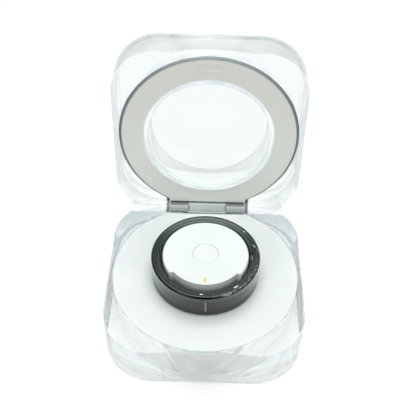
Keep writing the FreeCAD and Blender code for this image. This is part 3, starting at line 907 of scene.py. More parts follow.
@dataclass(frozen=True)
class StudioFloor(Finish):
    """Pale floor that reads as white and keeps the shadow; for reflections and the view through the clear
    plastic it glows with painted shade and light: darker under the back half of the case, paler behind it,
    with a lighter patch under the front half, a painted contact shadow along the front edge and bluish
    stripes ahead.
    """

    # Painted shade and light: floor tone from front to back, darker under the back half of the case and
    # paler behind it.
    shade_and_light_tones: tuple[tuple[float, Rgb], ...] = (
        (-60.0, (0.72, 0.76, 0.77)),
        (-24.0, (0.74, 0.785, 0.79)),
        (0.0, (0.68, 0.74, 0.76)),
        (10.0, (0.52, 0.59, 0.62)),
        (25.0, (0.48, 0.55, 0.58)),
        (34.0, (0.9, 0.92, 0.92)),
        (80.0, (0.91, 0.93, 0.93)),
    )
    clouds: Grain = Grain(60.0, 2.0, 0.5)
    cloud_share: float = 0.04
    stripe: Rgb = (0.46, 0.58, 0.69)
    stripes: Grain = Grain(150.0, 1.0, 0.5)
    stripe_rise: Span = (0.48, 0.54)
    stripe_away_mm: Span = (27.0, 32.0)
    stripe_depth_mm: Span = (-22.0, -10.0)
    # Painted light: lighter patch under the front half of the case.
    under: Rgb = (0.81, 0.84, 0.84)
    under_away_mm: Span = (28.0, 31.0)
    under_mm: tuple[float, float, float] = (-24.3, 0.0, 2.0)
    # Painted contact shadow along the case's front edge.
    painted_contact_shadow: Rgb = (0.3, 0.28, 0.25)
    painted_contact_shadow_mm: tuple[float, float, float] = (-26.2, -24.6, 0.4)
    lit: Rgb = (0.8, 0.81, 0.81)
    dim: Rgb = (0.45, 0.45, 0.45)
    lift: float = 0.6
    far_mm: Span = (90.0, 300.0)

    def through(self, graph: Graph, point: Signal) -> Signal:
        """Tone of the floor as the clear plastic and the metal show it, with painted shade and light.

        Args:
            graph: the material's graph.
            point: place on the floor.

        Returns:
            The colour.
        """
        side, depth, _ = graph.axes(point)
        away = side.hypot(depth)
        cloud = graph.noise(point, self.clouds)
        first, last = self.shade_and_light_tones[0][0], self.shade_and_light_tones[-1][0]
        stops = [((place - first) / (last - first), tone) for place, tone in self.shade_and_light_tones]
        share = (depth / MM - first) / (last - first) + self.cloud_share * (cloud - 0.5)
        tone = graph.node("ShaderNodeValToRGB", {"stops": stops}, {"Fac": share})["Color"]
        stripes = graph.noise(graph.vector(depth.angle_to(side), 0.0, 0.0), self.stripes)
        ahead = away.step_mm(*self.stripe_away_mm) * (1 - depth.step_mm(*self.stripe_depth_mm))
        tone = graph.cover(stripes.step(*self.stripe_rise) * ahead, tone, self.stripe)
        # Painted light under the front half of the case, then a painted contact shadow along its front
        # edge.
        painted_light_patch = (1 - away.step_mm(*self.under_away_mm)) * depth.within_mm(*self.under_mm)
        tone = graph.cover(painted_light_patch, tone, self.under)
        return graph.cover(depth.within_mm(*self.painted_contact_shadow_mm), tone, self.painted_contact_shadow)

    def paint(self, graph: Graph) -> None:
        """Plain floor for the light in the room, lifted to white where the camera sees it; reflections and
        the view through the plastic get the painted shade and light.

        Args:
            graph: the material's graph.
        """
        point = graph.place()
        side, depth, _ = graph.axes(point)
        matt = graph.flat(Flat.MATT, self.dim)
        painted_shade_glow = graph.added(matt, graph.flat(Flat.GLOW, self.through(graph, point), self.lift))
        near = graph.added(matt, graph.flat(Flat.GLOW, WHITE, self.lift))
        blank = graph.flat(Flat.GLOW, WHITE)
        seen = graph.mixed(side.hypot(depth).step_mm(*self.far_mm), near, blank)
        rays = graph.node("ShaderNodeLightPath")
        bent = rays["Is Glossy Ray"].higher(rays["Is Transmission Ray"])
        unseen = graph.mixed(bent, graph.flat(Flat.MATT, self.lit), painted_shade_glow)
        graph.surface(graph.mixed(rays["Is Camera Ray"], unseen, seen))


CLEAR_BASE = ClearPlastic("clear_base")
CLEAR_LID = ClearPlastic("clear_lid", hollow_mm=15.9, straight=0.45)
WHITE_DECK = MouldedPlastic("white_deck")
WHITE_TUB = MouldedPlastic("white_tub", (0.89, 0.865, 0.825), (0.86, 0.835, 0.795), 0.45)
WHITE_BUTTON = MouldedPlastic("white_button", (0.9, 0.92, 0.915), (0.87, 0.89, 0.885), 0.34)
ORANGE_INK = MouldedPlastic("orange_mark", (0.98, 0.66, 0.1), (0.95, 0.6, 0.08), 0.5, 0.08)
BLACK_MOULD = MouldedPlastic("black_mould", (0.02, 0.02, 0.022), (0.014, 0.014, 0.015), 0.5)
BOARD_GREEN = MouldedPlastic("board_green", (0.02, 0.16, 0.07), (0.015, 0.11, 0.05), 0.35, 0.4)
FLEX_AMBER = MouldedPlastic("flex_amber", (0.5, 0.24, 0.04), (0.42, 0.19, 0.03), 0.4)
FOAM_GREY = MouldedPlastic("foam_grey", (0.06, 0.06, 0.062), (0.04, 0.04, 0.042), 0.9, 0.3, 0.05)
CHAMPAGNE = PlateMetal("champagne_plate")
# Painted light and highlight: the bumper is paler toward the hinge and has a pale painted highlight along
# its inner edge, inside 19.85 mm.
BUMPER_SOFT = PlateMetal(
    "champagne_bumper",
    (0.81, 0.79, 0.73),
    (0.84, 0.83, 0.785),
    (0.98, 0.98, 0.96),
    19.85,
)
FRAME_GREY = FrameMetal("frame_grey")
HINGE_GREY = WorkedMetal(
    "hinge_grey",
    (0.64, 0.685, 0.675),
    (0.53, 0.57, 0.565),
    metal=0.5,
    gloss=0.46,
    lay=Lay.ALONG_HINGE,
    line_mm=0.12,
)
# Painted shade: a dark steel for the hinge pin, so that the slits round it read dark.
PIN_SHADE_STEEL = WorkedMetal("pin_shade_steel", (0.12, 0.13, 0.13), (0.09, 0.1, 0.1), 0.9, 0.4, Lay.ALONG_HINGE)
PLAIN_STEEL = WorkedMetal("plain_steel", (0.56, 0.57, 0.58), (0.48, 0.49, 0.5), 1.0, 0.28)
COIL_COPPER = WorkedMetal(
    "coil_copper",
    (0.75, 0.33, 0.14),
    (0.6, 0.25, 0.1),
    metal=1.0,
    gloss=0.3,
    lay=Lay.AROUND_POST,
    line_mm=0.2,
)
CELL_FOIL = WorkedMetal("cell_foil", (0.55, 0.56, 0.57), (0.48, 0.49, 0.5), 0.9, 0.4)
DARK_CORE = MouldedPlastic("dark_core", (0.04, 0.04, 0.042), (0.03, 0.03, 0.031), 0.6)
GOLD_PAD = WorkedMetal("gold_pad", (0.83, 0.6, 0.25), (0.75, 0.52, 0.2), 1.0, 0.25)
RING_BAND = WornBand("ring_titanium")
RING_RESIN = GlossResin("ring_resin")
SENSOR_GLASS = GlossResin("sensor_glass", (0.02, 0.018, 0.02), (0.09, 0.06, 0.04), 0.05)
FRONT_MARK = MouldedPlastic("front_mark", (0.62, 0.64, 0.62), (0.2, 0.21, 0.2), 0.5, 0.2, 0.03)
FLOOR = StudioFloor("studio_floor")


@dataclass
class Dresser:
    """Gives CAD nodes their finish and eased edges."""

    done: list[str] = field(default_factory=list)
    weld_m: float = 1e-6
    ease_steps: int = 3
    ease_angle_deg: float = 35.0

    def ease(self, piece: bpy.types.Object, width_mm: float) -> None:
        """Round the edges of a node a little, without touching its mesh.

        Args:
            piece: the node's object.
            width_mm: width of the eased edge.
        """
        for face in piece.data.polygons:
            face.use_smooth = True
        weld = piece.modifiers.new("weld", "WELD")
        weld.merge_threshold = self.weld_m
        bevel = piece.modifiers.new("ease", "BEVEL")
        bevel.width = width_mm * MM
        bevel.segments = self.ease_steps
        bevel.limit_method = "ANGLE"
        bevel.angle_limit = math.radians(self.ease_angle_deg)
        normals = piece.modifiers.new("normals", "WEIGHTED_NORMAL")
        normals.weight = NORMAL_WEIGHT

    def dress(self, node: str, finish: Finish, ease_mm: float = 0.0) -> None:
        """Finish one node.

        Args:
            node: name of the CAD node.
            finish: the finish that it gets.
            ease_mm: width of the eased edges, or 0 to leave them.
        """
        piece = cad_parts[node]
        piece.data.materials.clear()
        piece.data.materials.append(finish.material())
        if ease_mm:
            self.ease(piece, ease_mm)
        self.done.append(node)
        LOG.info("dressed %s in %s", node, finish.name)

    def built(self, piece: bpy.types.Object, node: str = "") -> None:
        """Note a piece that was built, and the node that it stands for.

        Args:
            piece: the object.
            node: name of the CAD node, or an empty name.
        """
        if node:
            self.done.append(node)
        LOG.info("built %s", piece.name)


class Carving(Enum):
    """What a tool does to a body, by Blender's name of the boolean operation."""

    CUT = "DIFFERENCE"
    JOIN = "UNION"
    TRIM = "INTERSECT"


@dataclass
class Shaper:
    """Makes dense solids in millimetres in the shut case's frame and carves them."""

    fine: int = 360
    same_m: float = 1e-8
    corner_steps: int = 56
    side_steps: int = 20
    low_steps: int = 12
    wall_steps: int = 12
    high_steps: int = 18
    bar_steps: int = 96
    bar_rings: int = 40
    slot_steps: int = 32

    def solid(self, name: str, points: Sequence[Point], faces: Sequence[Sequence[int]]) -> bpy.types.Object:
        """Closed mesh from points and faces.

        Args:
            name: name of the object.
            points: corners in millimetres.
            faces: corner numbers of each face.

        Returns:
            The object, in metres, its faces turned outward.
        """
        mesh = bpy.data.meshes.new(name)
        mesh.from_pydata([tuple(part * MM for part in point) for point in points], [], faces)
        work = bmesh.new()
        work.from_mesh(mesh)
        bmesh.ops.remove_doubles(work, verts=work.verts, dist=self.same_m)
        bmesh.ops.recalc_face_normals(work, faces=work.faces)
        work.to_mesh(mesh)
        work.free()
        made = bpy.data.objects.new(name, mesh)
        bpy.context.scene.collection.objects.link(made)
        return made

    def stacked(self, name: str, loops: Sequence[Sequence[Point]]) -> bpy.types.Object:
        """Solid through a stack of loops, closed at both ends.

        Args:
            name: name of the object.
            loops: the loops in order, each with the same number of points.

        Returns:
            The object.
        """
        count = len(loops[0])
        points = [point for loop in loops for point in loop]
        faces: list[Sequence[int]] = []
        for level in range(len(loops) - 1):
            for k in range(count):
                low, after = level * count + k, level * count + (k + 1) % count
                faces.append((low, after, after + count, low + count))
        faces.append(tuple(reversed(range(count))))
        faces.append(tuple(range((len(loops) - 1) * count, len(loops) * count)))
        return self.solid(name, points, faces)

    def lathe(self, name: str, profile: Profile, closed: bool = False) -> bpy.types.Object:
        """Solid turned about Z.

        Args:
            name: name of the object.
            profile: radius and height of each point.
            closed: whether the profile closes on itself, as for a ring; else both ends are capped.

        Returns:
            The object.
        """
        turn = full_turn(self.fine)
        loops = [[(radius * x, radius * y, z) for x, y in turn] for radius, z in profile]
        if not closed:
            return self.stacked(name, loops)
        faces = []
        for level in range(len(loops)):
            low, high = level * self.fine, (level + 1) % len(loops) * self.fine
            for k in range(self.fine):
                after = (k + 1) % self.fine
                faces.append((low + k, low + after, high + after, high + k))
        return self.solid(name, [point for loop in loops for point in loop], faces)

    def outline(self, half: float, corner: float, inset: float, z: float) -> list[Point]:
        """Rounded square, drawn in by the inset.

        Args:
            half: half the width of the square.
            corner: radius of its corners.
            inset: how far the line is drawn in.
            z: height of the loop.

        Returns:
            The points of the loop.
        """
        radius, middle = corner - inset, half - corner
        centres = ((middle, middle), (-middle, middle), (-middle, -middle), (middle, -middle))
        loop: list[Point] = []
        for quarter, (x, y) in enumerate(centres):
            bend = arc(90.0 * quarter, 90.0, self.corner_steps)
            loop += [(x + radius * along, y + radius * up, z) for along, up in bend]
            next_x, next_y = centres[(quarter + 1) % len(centres)]
            start_x, start_y, _ = loop[-1]
            for k in range(1, self.side_steps):
                share = k / self.side_steps
                loop.append((start_x + (next_x - x) * share, start_y + (next_y - y) * share, z))
        return loop

    def column(
        self,
        name: str,
        low: float,
        high: float,
        low_round: float,
        high_round: float,
    ) -> bpy.types.Object:
        """Rounded-square column of the case with rounded lower and upper edges.

        Args:
            name: name of the object.
            low: height of its lower end.
            high: height of its upper end.
            low_round: radius of its lower edge.
            high_round: radius of its upper edge.

        Returns:
            The object.
        """
        wall, foot = high - low - low_round - high_round, low + low_round
        levels = [(inset, low + rise) for inset, rise in quarter_round(low_round, self.low_steps)]
        levels += [(0.0, foot + wall * k / self.wall_steps) for k in range(1, self.wall_steps)]
        levels += [(inset, high - drop) for drop, inset in quarter_round(high_round, self.high_steps)]
        return self.stacked(name, [self.outline(CASE_HALF, CASE_CORNER, inset, z) for inset, z in levels])

    def block(self, name: str, low: Point, high: Point) -> bpy.types.Object:
        """Plain block between two corners.

        Args:
            name: name of the object.
            low: its lower corner.
            high: its upper corner.

        Returns:
            The object.
        """
        x0, y0, z0 = low
        x1, y1, z1 = high
        square = ((x0, y0), (x1, y0), (x1, y1), (x0, y1))
        return self.stacked(name, [[(x, y, z) for x, y in square] for z in (z0, z1)])

    def bar(self, name: str, radius: float, half_length: float) -> bpy.types.Object:
        """Round bar along the hinge axis.

        Args:
            name: name of the object.
            radius: its radius.
            half_length: half its length.

        Returns:
            The object.
        """
        ring = [(HINGE_Y + radius * y, HINGE_Z + radius * z) for y, z in full_turn(self.bar_steps)]
        places = spread(half_length, self.bar_rings)
        return self.stacked(name, [[(x, y, z) for y, z in ring] for x in places])

    def slot(self, name: str, width: float, height: float, axis_z: float, reach: Span) -> bpy.types.Object:
        """Round-ended bar along Y.

        Args:
            name: name of the object.
            width: its width.
            height: its height.
            axis_z: height of its axis.
            reach: Y of its two ends.

        Returns:
            The object.
        """
        radius, middle = height / 2, (width - height) / 2
        loop = []
        for x, start_deg in ((middle, -90.0), (-middle, 90.0)):
            end = arc(start_deg, 180.0, self.slot_steps)
            loop += [(x + radius * along, axis_z + radius * up) for along, up in end]
        return self.stacked(name, [[(x, y, z) for x, z in loop] for y in reach])

    def carve(self, body: bpy.types.Object, tool: bpy.types.Object, way: Carving = Carving.CUT) -> None:
        """Change a body by a tool, and drop the tool.

        Args:
            body: the object that changes.
            tool: the object that is used up.
            way: whether the tool cuts the body, joins it or trims it to the tool's own shape.
        """
        change = body.modifiers.new("carve", "BOOLEAN")
        change.operation = way.value
        change.object = tool
        change.solver = "MANIFOLD"
        ready = body.evaluated_get(bpy.context.evaluated_depsgraph_get())
        mesh = bpy.data.meshes.new_from_object(ready)
        body.modifiers.clear()
        old, body.data = body.data, mesh
        bpy.data.meshes.remove(old)
        spent = tool.data
        bpy.data.objects.remove(tool)
        bpy.data.meshes.remove(spent)

    def polish(self, piece: bpy.types.Object, finish: Finish, crease_deg: float = 24.0) -> None:
        """Smooth a finished piece and give it its finish.

        Args:
            piece: the object.
            finish: its finish.
            crease_deg: edges sharper than this stay crisp.
        """
        piece.data.shade_smooth()
        piece.data.set_sharp_from_angle(angle=math.radians(crease_deg))
        normals = piece.modifiers.new("normals", "WEIGHTED_NORMAL")
        normals.keep_sharp = True
        normals.weight = NORMAL_WEIGHT
        piece.data.materials.clear()
        piece.data.materials.append(finish.material())

    def open_up(self, piece: bpy.types.Object) -> None:
        """Swing a piece of the shut lid to the open rest pose.

        Args:
            piece: the object.
        """
        axis = Vector((0, HINGE_Y, HINGE_Z)) * MM
        turn = Matrix.Rotation(math.radians(-OPEN_DEG), 4, "X")
        piece.data.transform(Matrix.Translation(axis) @ turn @ Matrix.Translation(-axis))


@dataclass
class ThumbDish:
    """Shallow bowl at the front of the seam, let into both clear shells."""

    shaper: Shaper
    half_width: float = 13.0
    half_height: float = 8.5
    depth: float = 0.65
    wider: float = 1.12
    taller: float = 1.2
    across: int = 140
    along: int = 84
    front_room: float = 3.0

    def cutter(self) -> bpy.types.Object:
        """Make the cutter, open to the front.

        Returns:
            The object.
        """
        xs = spread(self.half_width * self.wider, self.across)
        zs = spread(self.half_height * self.taller, self.along)
        front = -CASE_HALF - self.front_room
        loops = []
        for z in zs:
            bowl = []
            for x in xs:
                reach = (x / self.half_width) ** 2 + (z / self.half_height) ** 2
                bowl.append((x, -CASE_HALF + self.depth * (1 - reach), HINGE_Z + z))
            loops.append(bowl + [(x, front, HINGE_Z + z) for x in reversed(xs)])
        return self.shaper.stacked("dish", loops)


@dataclass
class ClearBase:
    """Clear lower shell with its bore, hinge cove, port and half of the thumb dish."""

    shaper: Shaper
    seam: float = 13.4
    edge_round: float = 1.5
    seam_round: float = 0.3
    bore: float = 23.5
    bore_ease: float = 0.25
    lip_bore: float = 21.1
    lip_height: float = 1.2
    cove: float = 1.85
    rebate: float = 1.95
    port: tuple[float, float, float] = (9.34, 3.66, 8.2)
    port_start: float = 16.0
    room: float = 2.0
    bar_room: float = 1.0

    def build(self) -> bpy.types.Object:
        """Make the shell.

        Returns:
            The piece.
        """
        tools = self.shaper
        shell = tools.column("clear_base_shell", 0.0, self.seam, self.edge_round, self.seam_round)
        above, back = self.seam + self.room, CASE_HALF + self.room
        profile = [
            (self.lip_bore, -self.room),
            (self.lip_bore, self.lip_height),
            (self.bore, self.lip_height),
            (self.bore, self.seam - self.bore_ease),
            (self.bore + self.bore_ease, self.seam),
            (self.bore + self.bore_ease, above),
        ]
        tools.carve(shell, tools.lathe("bore", profile))
        tools.carve(shell, tools.bar("cove", self.cove, CASE_HALF + self.bar_room))
        low = (-back, HINGE_Y, HINGE_Z - self.rebate)
        tools.carve(shell, tools.block("rebate", low, (back, back, above)))
        tools.carve(shell, ThumbDish(tools).cutter())
        width, height, z = self.port
        tools.carve(shell, tools.slot("port", width, height, z, (self.port_start, back)))
        tools.polish(shell, CLEAR_BASE)
        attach(shell, "base")
        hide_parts("base_shell")
        return shell


@dataclass
class ClearLid:
    """Clear upper shell with its hollow, rolled back edge and half of the thumb dish."""

    shaper: Shaper
    low: float = 13.6
    high: float = 24.5
    edge_round: float = 2.5
    seam_round: float = 0.3
    roll: float = 1.6
    roll_end_round: float = 0.01
    mouth: float = 15.7
    mouth_ease: float = 0.25
    mouth_steps: int = 6
    draft: float = 0.4
    floor: float = 21.4
    floor_round: float = 1.5
    floor_steps: int = 16
    seat: tuple[float, float, float] = (23.2, 16.75, 16.65)
    tab_half: float = 11.35
    tab_start: float = 16.85
    tab_room: float = 0.25
    bay: float = 1.85
    room: float = 4.0
    mouth_room: float = 3.0
    bar_room: float = 1.0

    def hollow(self) -> bpy.types.Object:
        """Make the cutter for the round hollow, with an eased mouth and a rounded floor.

        Returns:
            The object.
        """
        top, wide = self.mouth - self.draft, self.mouth + self.mouth_ease
        entry = quarter_round(self.mouth_ease, self.mouth_steps)[1:]
        bend = quarter_round(self.floor_round, self.floor_steps)
        profile = [(wide, self.low - self.mouth_room), (wide, self.low)]
        profile += [(self.mouth + inset, self.low + rise) for inset, rise in entry]
        profile += [(top - inset, self.floor - drop) for drop, inset in bend]
        return self.shaper.lathe("hollow", profile)

    def build(self) -> bpy.types.Object:
        """Make the shell.

        Returns:
            The piece.
        """
        tools = self.shaper
        shell = tools.column("clear_lid_shell", self.low, self.high, self.seam_round, self.edge_round)
        roll = tools.bar("roll", self.roll, CASE_HALF + self.bar_room)
        sharp = self.roll_end_round
        ends = tools.column("ends", HINGE_Z - self.room, HINGE_Z + self.room, sharp, sharp)
        tools.carve(roll, ends, Carving.TRIM)
        tools.carve(shell, roll, Carving.JOIN)
        tools.carve(shell, self.hollow())
        outer, inner, top = self.seat
        below = self.low - self.room
        ring = [(inner, below), (outer, below), (outer, top), (inner, top)]
        tools.carve(shell, tools.lathe("seat", ring, True))
        low = (-self.tab_half, self.tab_start, below)
        tools.carve(shell, tools.block("tab", low, (self.tab_half, HINGE_Y + self.tab_room, top)))
        tools.carve(shell, tools.bar("bay", self.bay, self.tab_half))
        tools.carve(shell, ThumbDish(tools).cutter())
        tools.open_up(shell)
        tools.polish(shell, CLEAR_LID)
        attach(shell, "lid")
        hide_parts("lid_shell")
        return shell


@dataclass
class WhiteBody:
    """White deck, tub, underside, button and mark."""

    dresser: Dresser
    shaper: Shaper
    deck_ease: float = 0.06
    cap_radius: float = 3.12
    cap_top: float = 20.63
    cap_round: float = 0.08
    cap_steps: int = 6
    flange: tuple[float, float, float] = (3.8, 18.68, 19.18)

    def button(self) -> bpy.types.Object:
        """Make the button: a close-fitting cap on its flange.

        Returns:
            The piece.
        """
        wide, low, high = self.flange
        profile = [(wide, low), (wide, high), (self.cap_radius, high)]
        edge = quarter_round(self.cap_round, self.cap_steps)
        profile += [(self.cap_radius - inset, self.cap_top - drop) for drop, inset in edge]
        cap = self.shaper.lathe("white_button_cap", profile)
        self.shaper.polish(cap, WHITE_BUTTON)
        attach(cap, "button")
        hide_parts("status_button")
        return cap

    def dress(self) -> None:
        """Build the button and finish the white mouldings."""
        self.dresser.built(self.button(), "status_button")
        self.dresser.dress("charging_deck", WHITE_DECK, self.deck_ease)
        self.dresser.dress("base_tub", WHITE_TUB)
        self.dresser.dress("base_plate", WHITE_TUB)
        self.dresser.dress("align_mark", ORANGE_INK)
        self.dresser.dress("light_guide", WHITE_BUTTON)


@dataclass
class HingeAndLidTrim:
    """Metal hinge and the trim in the lid."""

    dresser: Dresser
    trim_ease: float = 0.08
    frame_ease: float = 0.05

    def dress(self) -> None:
        """Finish plate, frame, bumper and hinge."""
        self.dresser.dress("lid_plate", CHAMPAGNE, self.trim_ease)
        self.dresser.dress("lid_bumper", BUMPER_SOFT, self.trim_ease)
        self.dresser.dress("lid_frame", FRAME_GREY, self.frame_ease)
        self.dresser.dress("lid_magnet", PLAIN_STEEL)
        self.dresser.dress("hinge_bracket", HINGE_GREY, self.trim_ease)
        # The pin is painted dark as painted shade in the hinge slits.
        self.dresser.dress("hinge_pin", PIN_SHADE_STEEL)


@dataclass(frozen=True)
class FrontMark:
    """Sizes of the thin ridged mark on the front of the band."""

    half: float = 0.23
    length: float = 3.55
    drop: float = 1.75
    aside: float = 0.3
    steps: int = 60
    end_steps: int = 4
    ridges: int = 7
    low: float = 0.012
    ridge: float = 0.03
    least: float = 0.001
    sunk: float = 0.04
    flat: float = 0.6
    sway: float = 0.06
    sway_rate: float = 0.55


@dataclass
class SmartRing:
    """The ring on the post: hollowed band, rounded lining, sensor domes and a ridged front mark."""

    dresser: Dresser
    shaper: Shaper
    outer: float = 13.5
    bore: float = 10.9
    joint: float = 12.2
    pocket: float = 12.9
    low: float = 13.27
    high: float = 20.27
    lip_width: float = 0.5
    lip_drop: float = 0.2
    lip_soft: float = 0.1
    lip_ease: float = 0.04
    chamfer: float = 0.35
    chamfer_deg: float = 45.0
    chamfer_ease: float = 0.07
    hollow: float = 0.18
    hollow_fill: float = 1.35
    hollow_power: float = 0.8
    side_steps: int = 24
    pocket_margin: float = 1.0
    lining_round: float = 1.2
    lining_steps: int = 16
    sensor_radius: float = 1.5
    sensor_proud: float = 0.45
    sensor_sunk: float = 0.4
    sensor_wall: float = 0.05
    sensor_tip: float = 0.02
    sensor_steps: int = 14
    sensor_room: float = 0.02
    sensor_turns: tuple[float, ...] = (-36.0, 0.0, 36.0)
    front: FrontMark = FrontMark()

    def side(self, z: float) -> float:
        """Radius of the hollowed outside.

        Args:
            z: height on the band.

        Returns:
            The radius.
        """
        start, end = self.low + 2 * self.chamfer, self.high - 2 * self.chamfer
        share = min(max((z - start) / (end - start), 0.0), 1.0)
        fill = self.hollow_fill * math.sin(math.pi * share) ** self.hollow_power
        return self.outer - self.hollow * min(1.0, fill)

    def band(self) -> bpy.types.Object:
        """Make the band, with eased chamfers and the pocket behind it.

        Returns:
            The piece.
        """
        cut, ease = self.chamfer, self.chamfer_ease
        rise = ease * math.tan(math.radians(self.chamfer_deg / 2))
        lip = self.joint + self.lip_width
        profile = [
            (self.joint, self.low + self.lip_drop),
            (lip, self.low),
            (self.outer - cut - ease, self.low),
            (self.outer - cut + rise, self.low + rise),
            (self.outer - rise, self.low + cut - rise),
            (self.outer, self.low + cut + ease),
        ]
        start, end = self.low + 2 * cut, self.high - 2 * cut
        heights = [start + (end - start) * k / self.side_steps for k in range(self.side_steps + 1)]
        profile += [(self.side(z), z) for z in heights]
        profile += [
            (self.outer, self.high - cut - ease),
            (self.outer - rise, self.high - cut + rise),
            (self.outer - cut + rise, self.high - rise),
            (self.outer - cut - ease, self.high),
            (lip + self.lip_soft, self.high),
            (lip - self.lip_soft, self.high - self.lip_ease),
            (self.joint, self.high - self.lip_drop),
            (self.joint, self.high - self.pocket_margin),
            (self.pocket, self.high - self.pocket_margin),
            (self.pocket, self.low + self.pocket_margin),
            (self.joint, self.low + self.pocket_margin),
        ]
        return self.shaper.lathe("ring_band_turned", profile, True)

    def lining(self) -> bpy.types.Object:
        """Make the lining, rounded at both ends of the bore.

        Returns:
            The piece.
        """
        low, high = self.low + self.lip_drop, self.high - self.lip_drop
        edge = quarter_round(self.lining_round, self.lining_steps)
        profile = [(self.joint, high), (self.joint, low)]
        profile += [(self.bore + inset, low + rise) for inset, rise in edge]
        profile += [(self.bore + inset, high - drop) for drop, inset in edge]
        return self.shaper.lathe("ring_lining_turned", profile, True)

    def dome(self, name: str, turn_deg: float, grow: float = 0.0) -> bpy.types.Object:
        """One sensor dome, its foot let into the lining.

        Args:
            name: name of the piece.
            turn_deg: place round the bore, from the front.
            grow: how much larger all round, for a cutter.

        Returns:
            The object.
        """
        radius, wall = self.sensor_radius + grow, self.sensor_wall
        profile = [(radius, -self.sensor_sunk - grow), (radius, wall)]
        for along, up in arc(0.0, 90.0, self.sensor_steps)[1:]:
            profile.append((max(radius * along, self.sensor_tip), wall + (self.sensor_proud - wall) * up))
        made = self.shaper.lathe(name, profile)
        turn = Matrix.Rotation(math.radians(turn_deg), 4, "Z")
        lean = Matrix.Rotation(-math.pi / 2, 4, "X")
        middle = Matrix.Translation(Vector((0, -self.bore, (self.low + self.high) / 2)) * MM)
        made.data.transform(turn @ middle @ lean)
        return made

    def mark(self) -> bpy.types.Object:
        """Make the thin ridged mark on the front of the band.

        Returns:
            The piece.
        """
        size = self.front
        loops = []
        for k in range(size.steps + 1):
            z = self.high - size.drop - size.length * k / size.steps
            ends = min(1.0, k / size.end_steps, (size.steps - k) / size.end_steps)
            ridge = size.ridge * abs(math.sin(math.pi * k / size.steps * size.ridges))
            proud = (size.low + ridge) * ends + size.least
            sway = size.aside + size.sway * math.sin(k * size.sway_rate)
            flat = size.half * size.flat
            shape = ((-size.half, size.sunk), (-flat, -proud), (flat, -proud), (size.half, size.sunk))
            loops.append([(x + sway, y - self.side(z), z) for x, y in shape])
        return self.shaper.stacked("ring_front_mark", loops)

    def keep(self, piece: bpy.types.Object, finish: Finish, node: str) -> None:
        """Finish a piece of the ring and let it stand for its node.

        Args:
            piece: the object.
            finish: its finish.
            node: the CAD node that it stands for, or an empty name.
        """
        self.shaper.polish(piece, finish)
        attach(piece, "ring")
        if node:
            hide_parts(node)
        self.dresser.built(piece, node)

    def dress(self) -> None:
        """Build and finish band, lining, sensors and mark."""
        lining = self.lining()
        domes = []
        for number, turn in enumerate(self.sensor_turns):
            self.shaper.carve(lining, self.dome("seat", turn, self.sensor_room))
            domes.append(self.dome(f"ring_sensor_dome_{number + 1}", turn))
        self.keep(self.band(), RING_BAND, "ring_band")
        self.keep(lining, RING_RESIN, "ring_liner")
        for dome in domes:
            self.keep(dome, SENSOR_GLASS, "ring_sensors")
        self.keep(self.mark(), FRONT_MARK, "")
        self.dresser.dress("ring_battery", CELL_FOIL)
        self.dresser.dress("ring_circuit", FLEX_AMBER)


@dataclass
class Electronics:
    """Boards, cell, coil, port and fasteners."""

    dresser: Dresser
    shaper: Shaper
    pads: int = 12
    pad_pitch: float = 0.5
    pad_width: float = 0.26
    pad_length: float = 3.2
    pad_setback: float = 1.1
    pad_proud: float = 0.02
    pad_sunk: float = 0.06
    pad_steps: int = 8
    tongue_half: float = 0.35

    def pad_outline(self, tip: float) -> list[tuple[float, float]]:
        """Round-ended outline of one contact pad.

        Args:
            tip: how far back along Y the pad reaches.

        Returns:
            X and Y of its points.
        """
        half = self.pad_width / 2
        outline = []
        for middle, start_deg in ((tip - half, 0.0), (tip - self.pad_length + half, 180.0)):
            end = arc(start_deg, 180.0, self.pad_steps)
            outline += [(half * along, middle + half * up) for along, up in end]
        return outline

    def contacts(self) -> bpy.types.Object:
        """Make the gold contacts on both faces of the port's tongue.

        Returns:
            The piece.
        """
        low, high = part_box("usb_shell")
        middle = (low.z + high.z) / 2 / MM
        outline = self.pad_outline(high.y / MM - self.pad_setback)
        count = len(outline)
        points: list[Point] = []
        faces: list[Sequence[int]] = []
        for side in (-1, 1):
            for number in range(self.pads):
                x = (number - (self.pads - 1) / 2) * self.pad_pitch
                first = len(points)
                for reach in (self.tongue_half - self.pad_sunk, self.tongue_half + self.pad_proud):
                    points += [(x + px, py, middle + side * reach) for px, py in outline]
                for k in range(count):
                    after = (k + 1) % count
                    faces.append((first + k, first + after, first + count + after, first + count + k))
                faces.append(tuple(range(first, first + count)))
                faces.append(tuple(range(first + count, first + 2 * count)))
        return self.shaper.solid("port_contacts", points, faces)

    def dress(self) -> None:
        """Build the contacts and finish the inner pieces."""
        contacts = self.contacts()
        self.shaper.polish(contacts, GOLD_PAD)
        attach(contacts, "base")
        self.dresser.built(contacts)
        for node, finish in {
            "button_board": BOARD_GREEN,
            "button_switch": BLACK_MOULD,
            "switch_plunger": BLACK_MOULD,
            "button_flex": FLEX_AMBER,
            "coil_bobbin": WHITE_TUB,
            "charging_coil": COIL_COPPER,
            "ferrite_core": DARK_CORE,
            "main_board": BOARD_GREEN,
            "board_chips": BLACK_MOULD,
            "battery": CELL_FOIL,
            "battery_pad": FOAM_GREY,
            "usb_shell": PLAIN_STEEL,
            "usb_tongue": BLACK_MOULD,
            "base_magnet": PLAIN_STEEL,
            "case_screws": PLAIN_STEEL,
            "board_screws": PLAIN_STEEL,
            "hinge_screws": PLAIN_STEEL,
        }.items():
            self.dresser.dress(node, finish)


@dataclass(frozen=True)
class SoftBox:
    """A soft box: its name, its place and size in metres and its output in watts."""

    name: str
    place: Point
    size: tuple[float, float]
    power: float


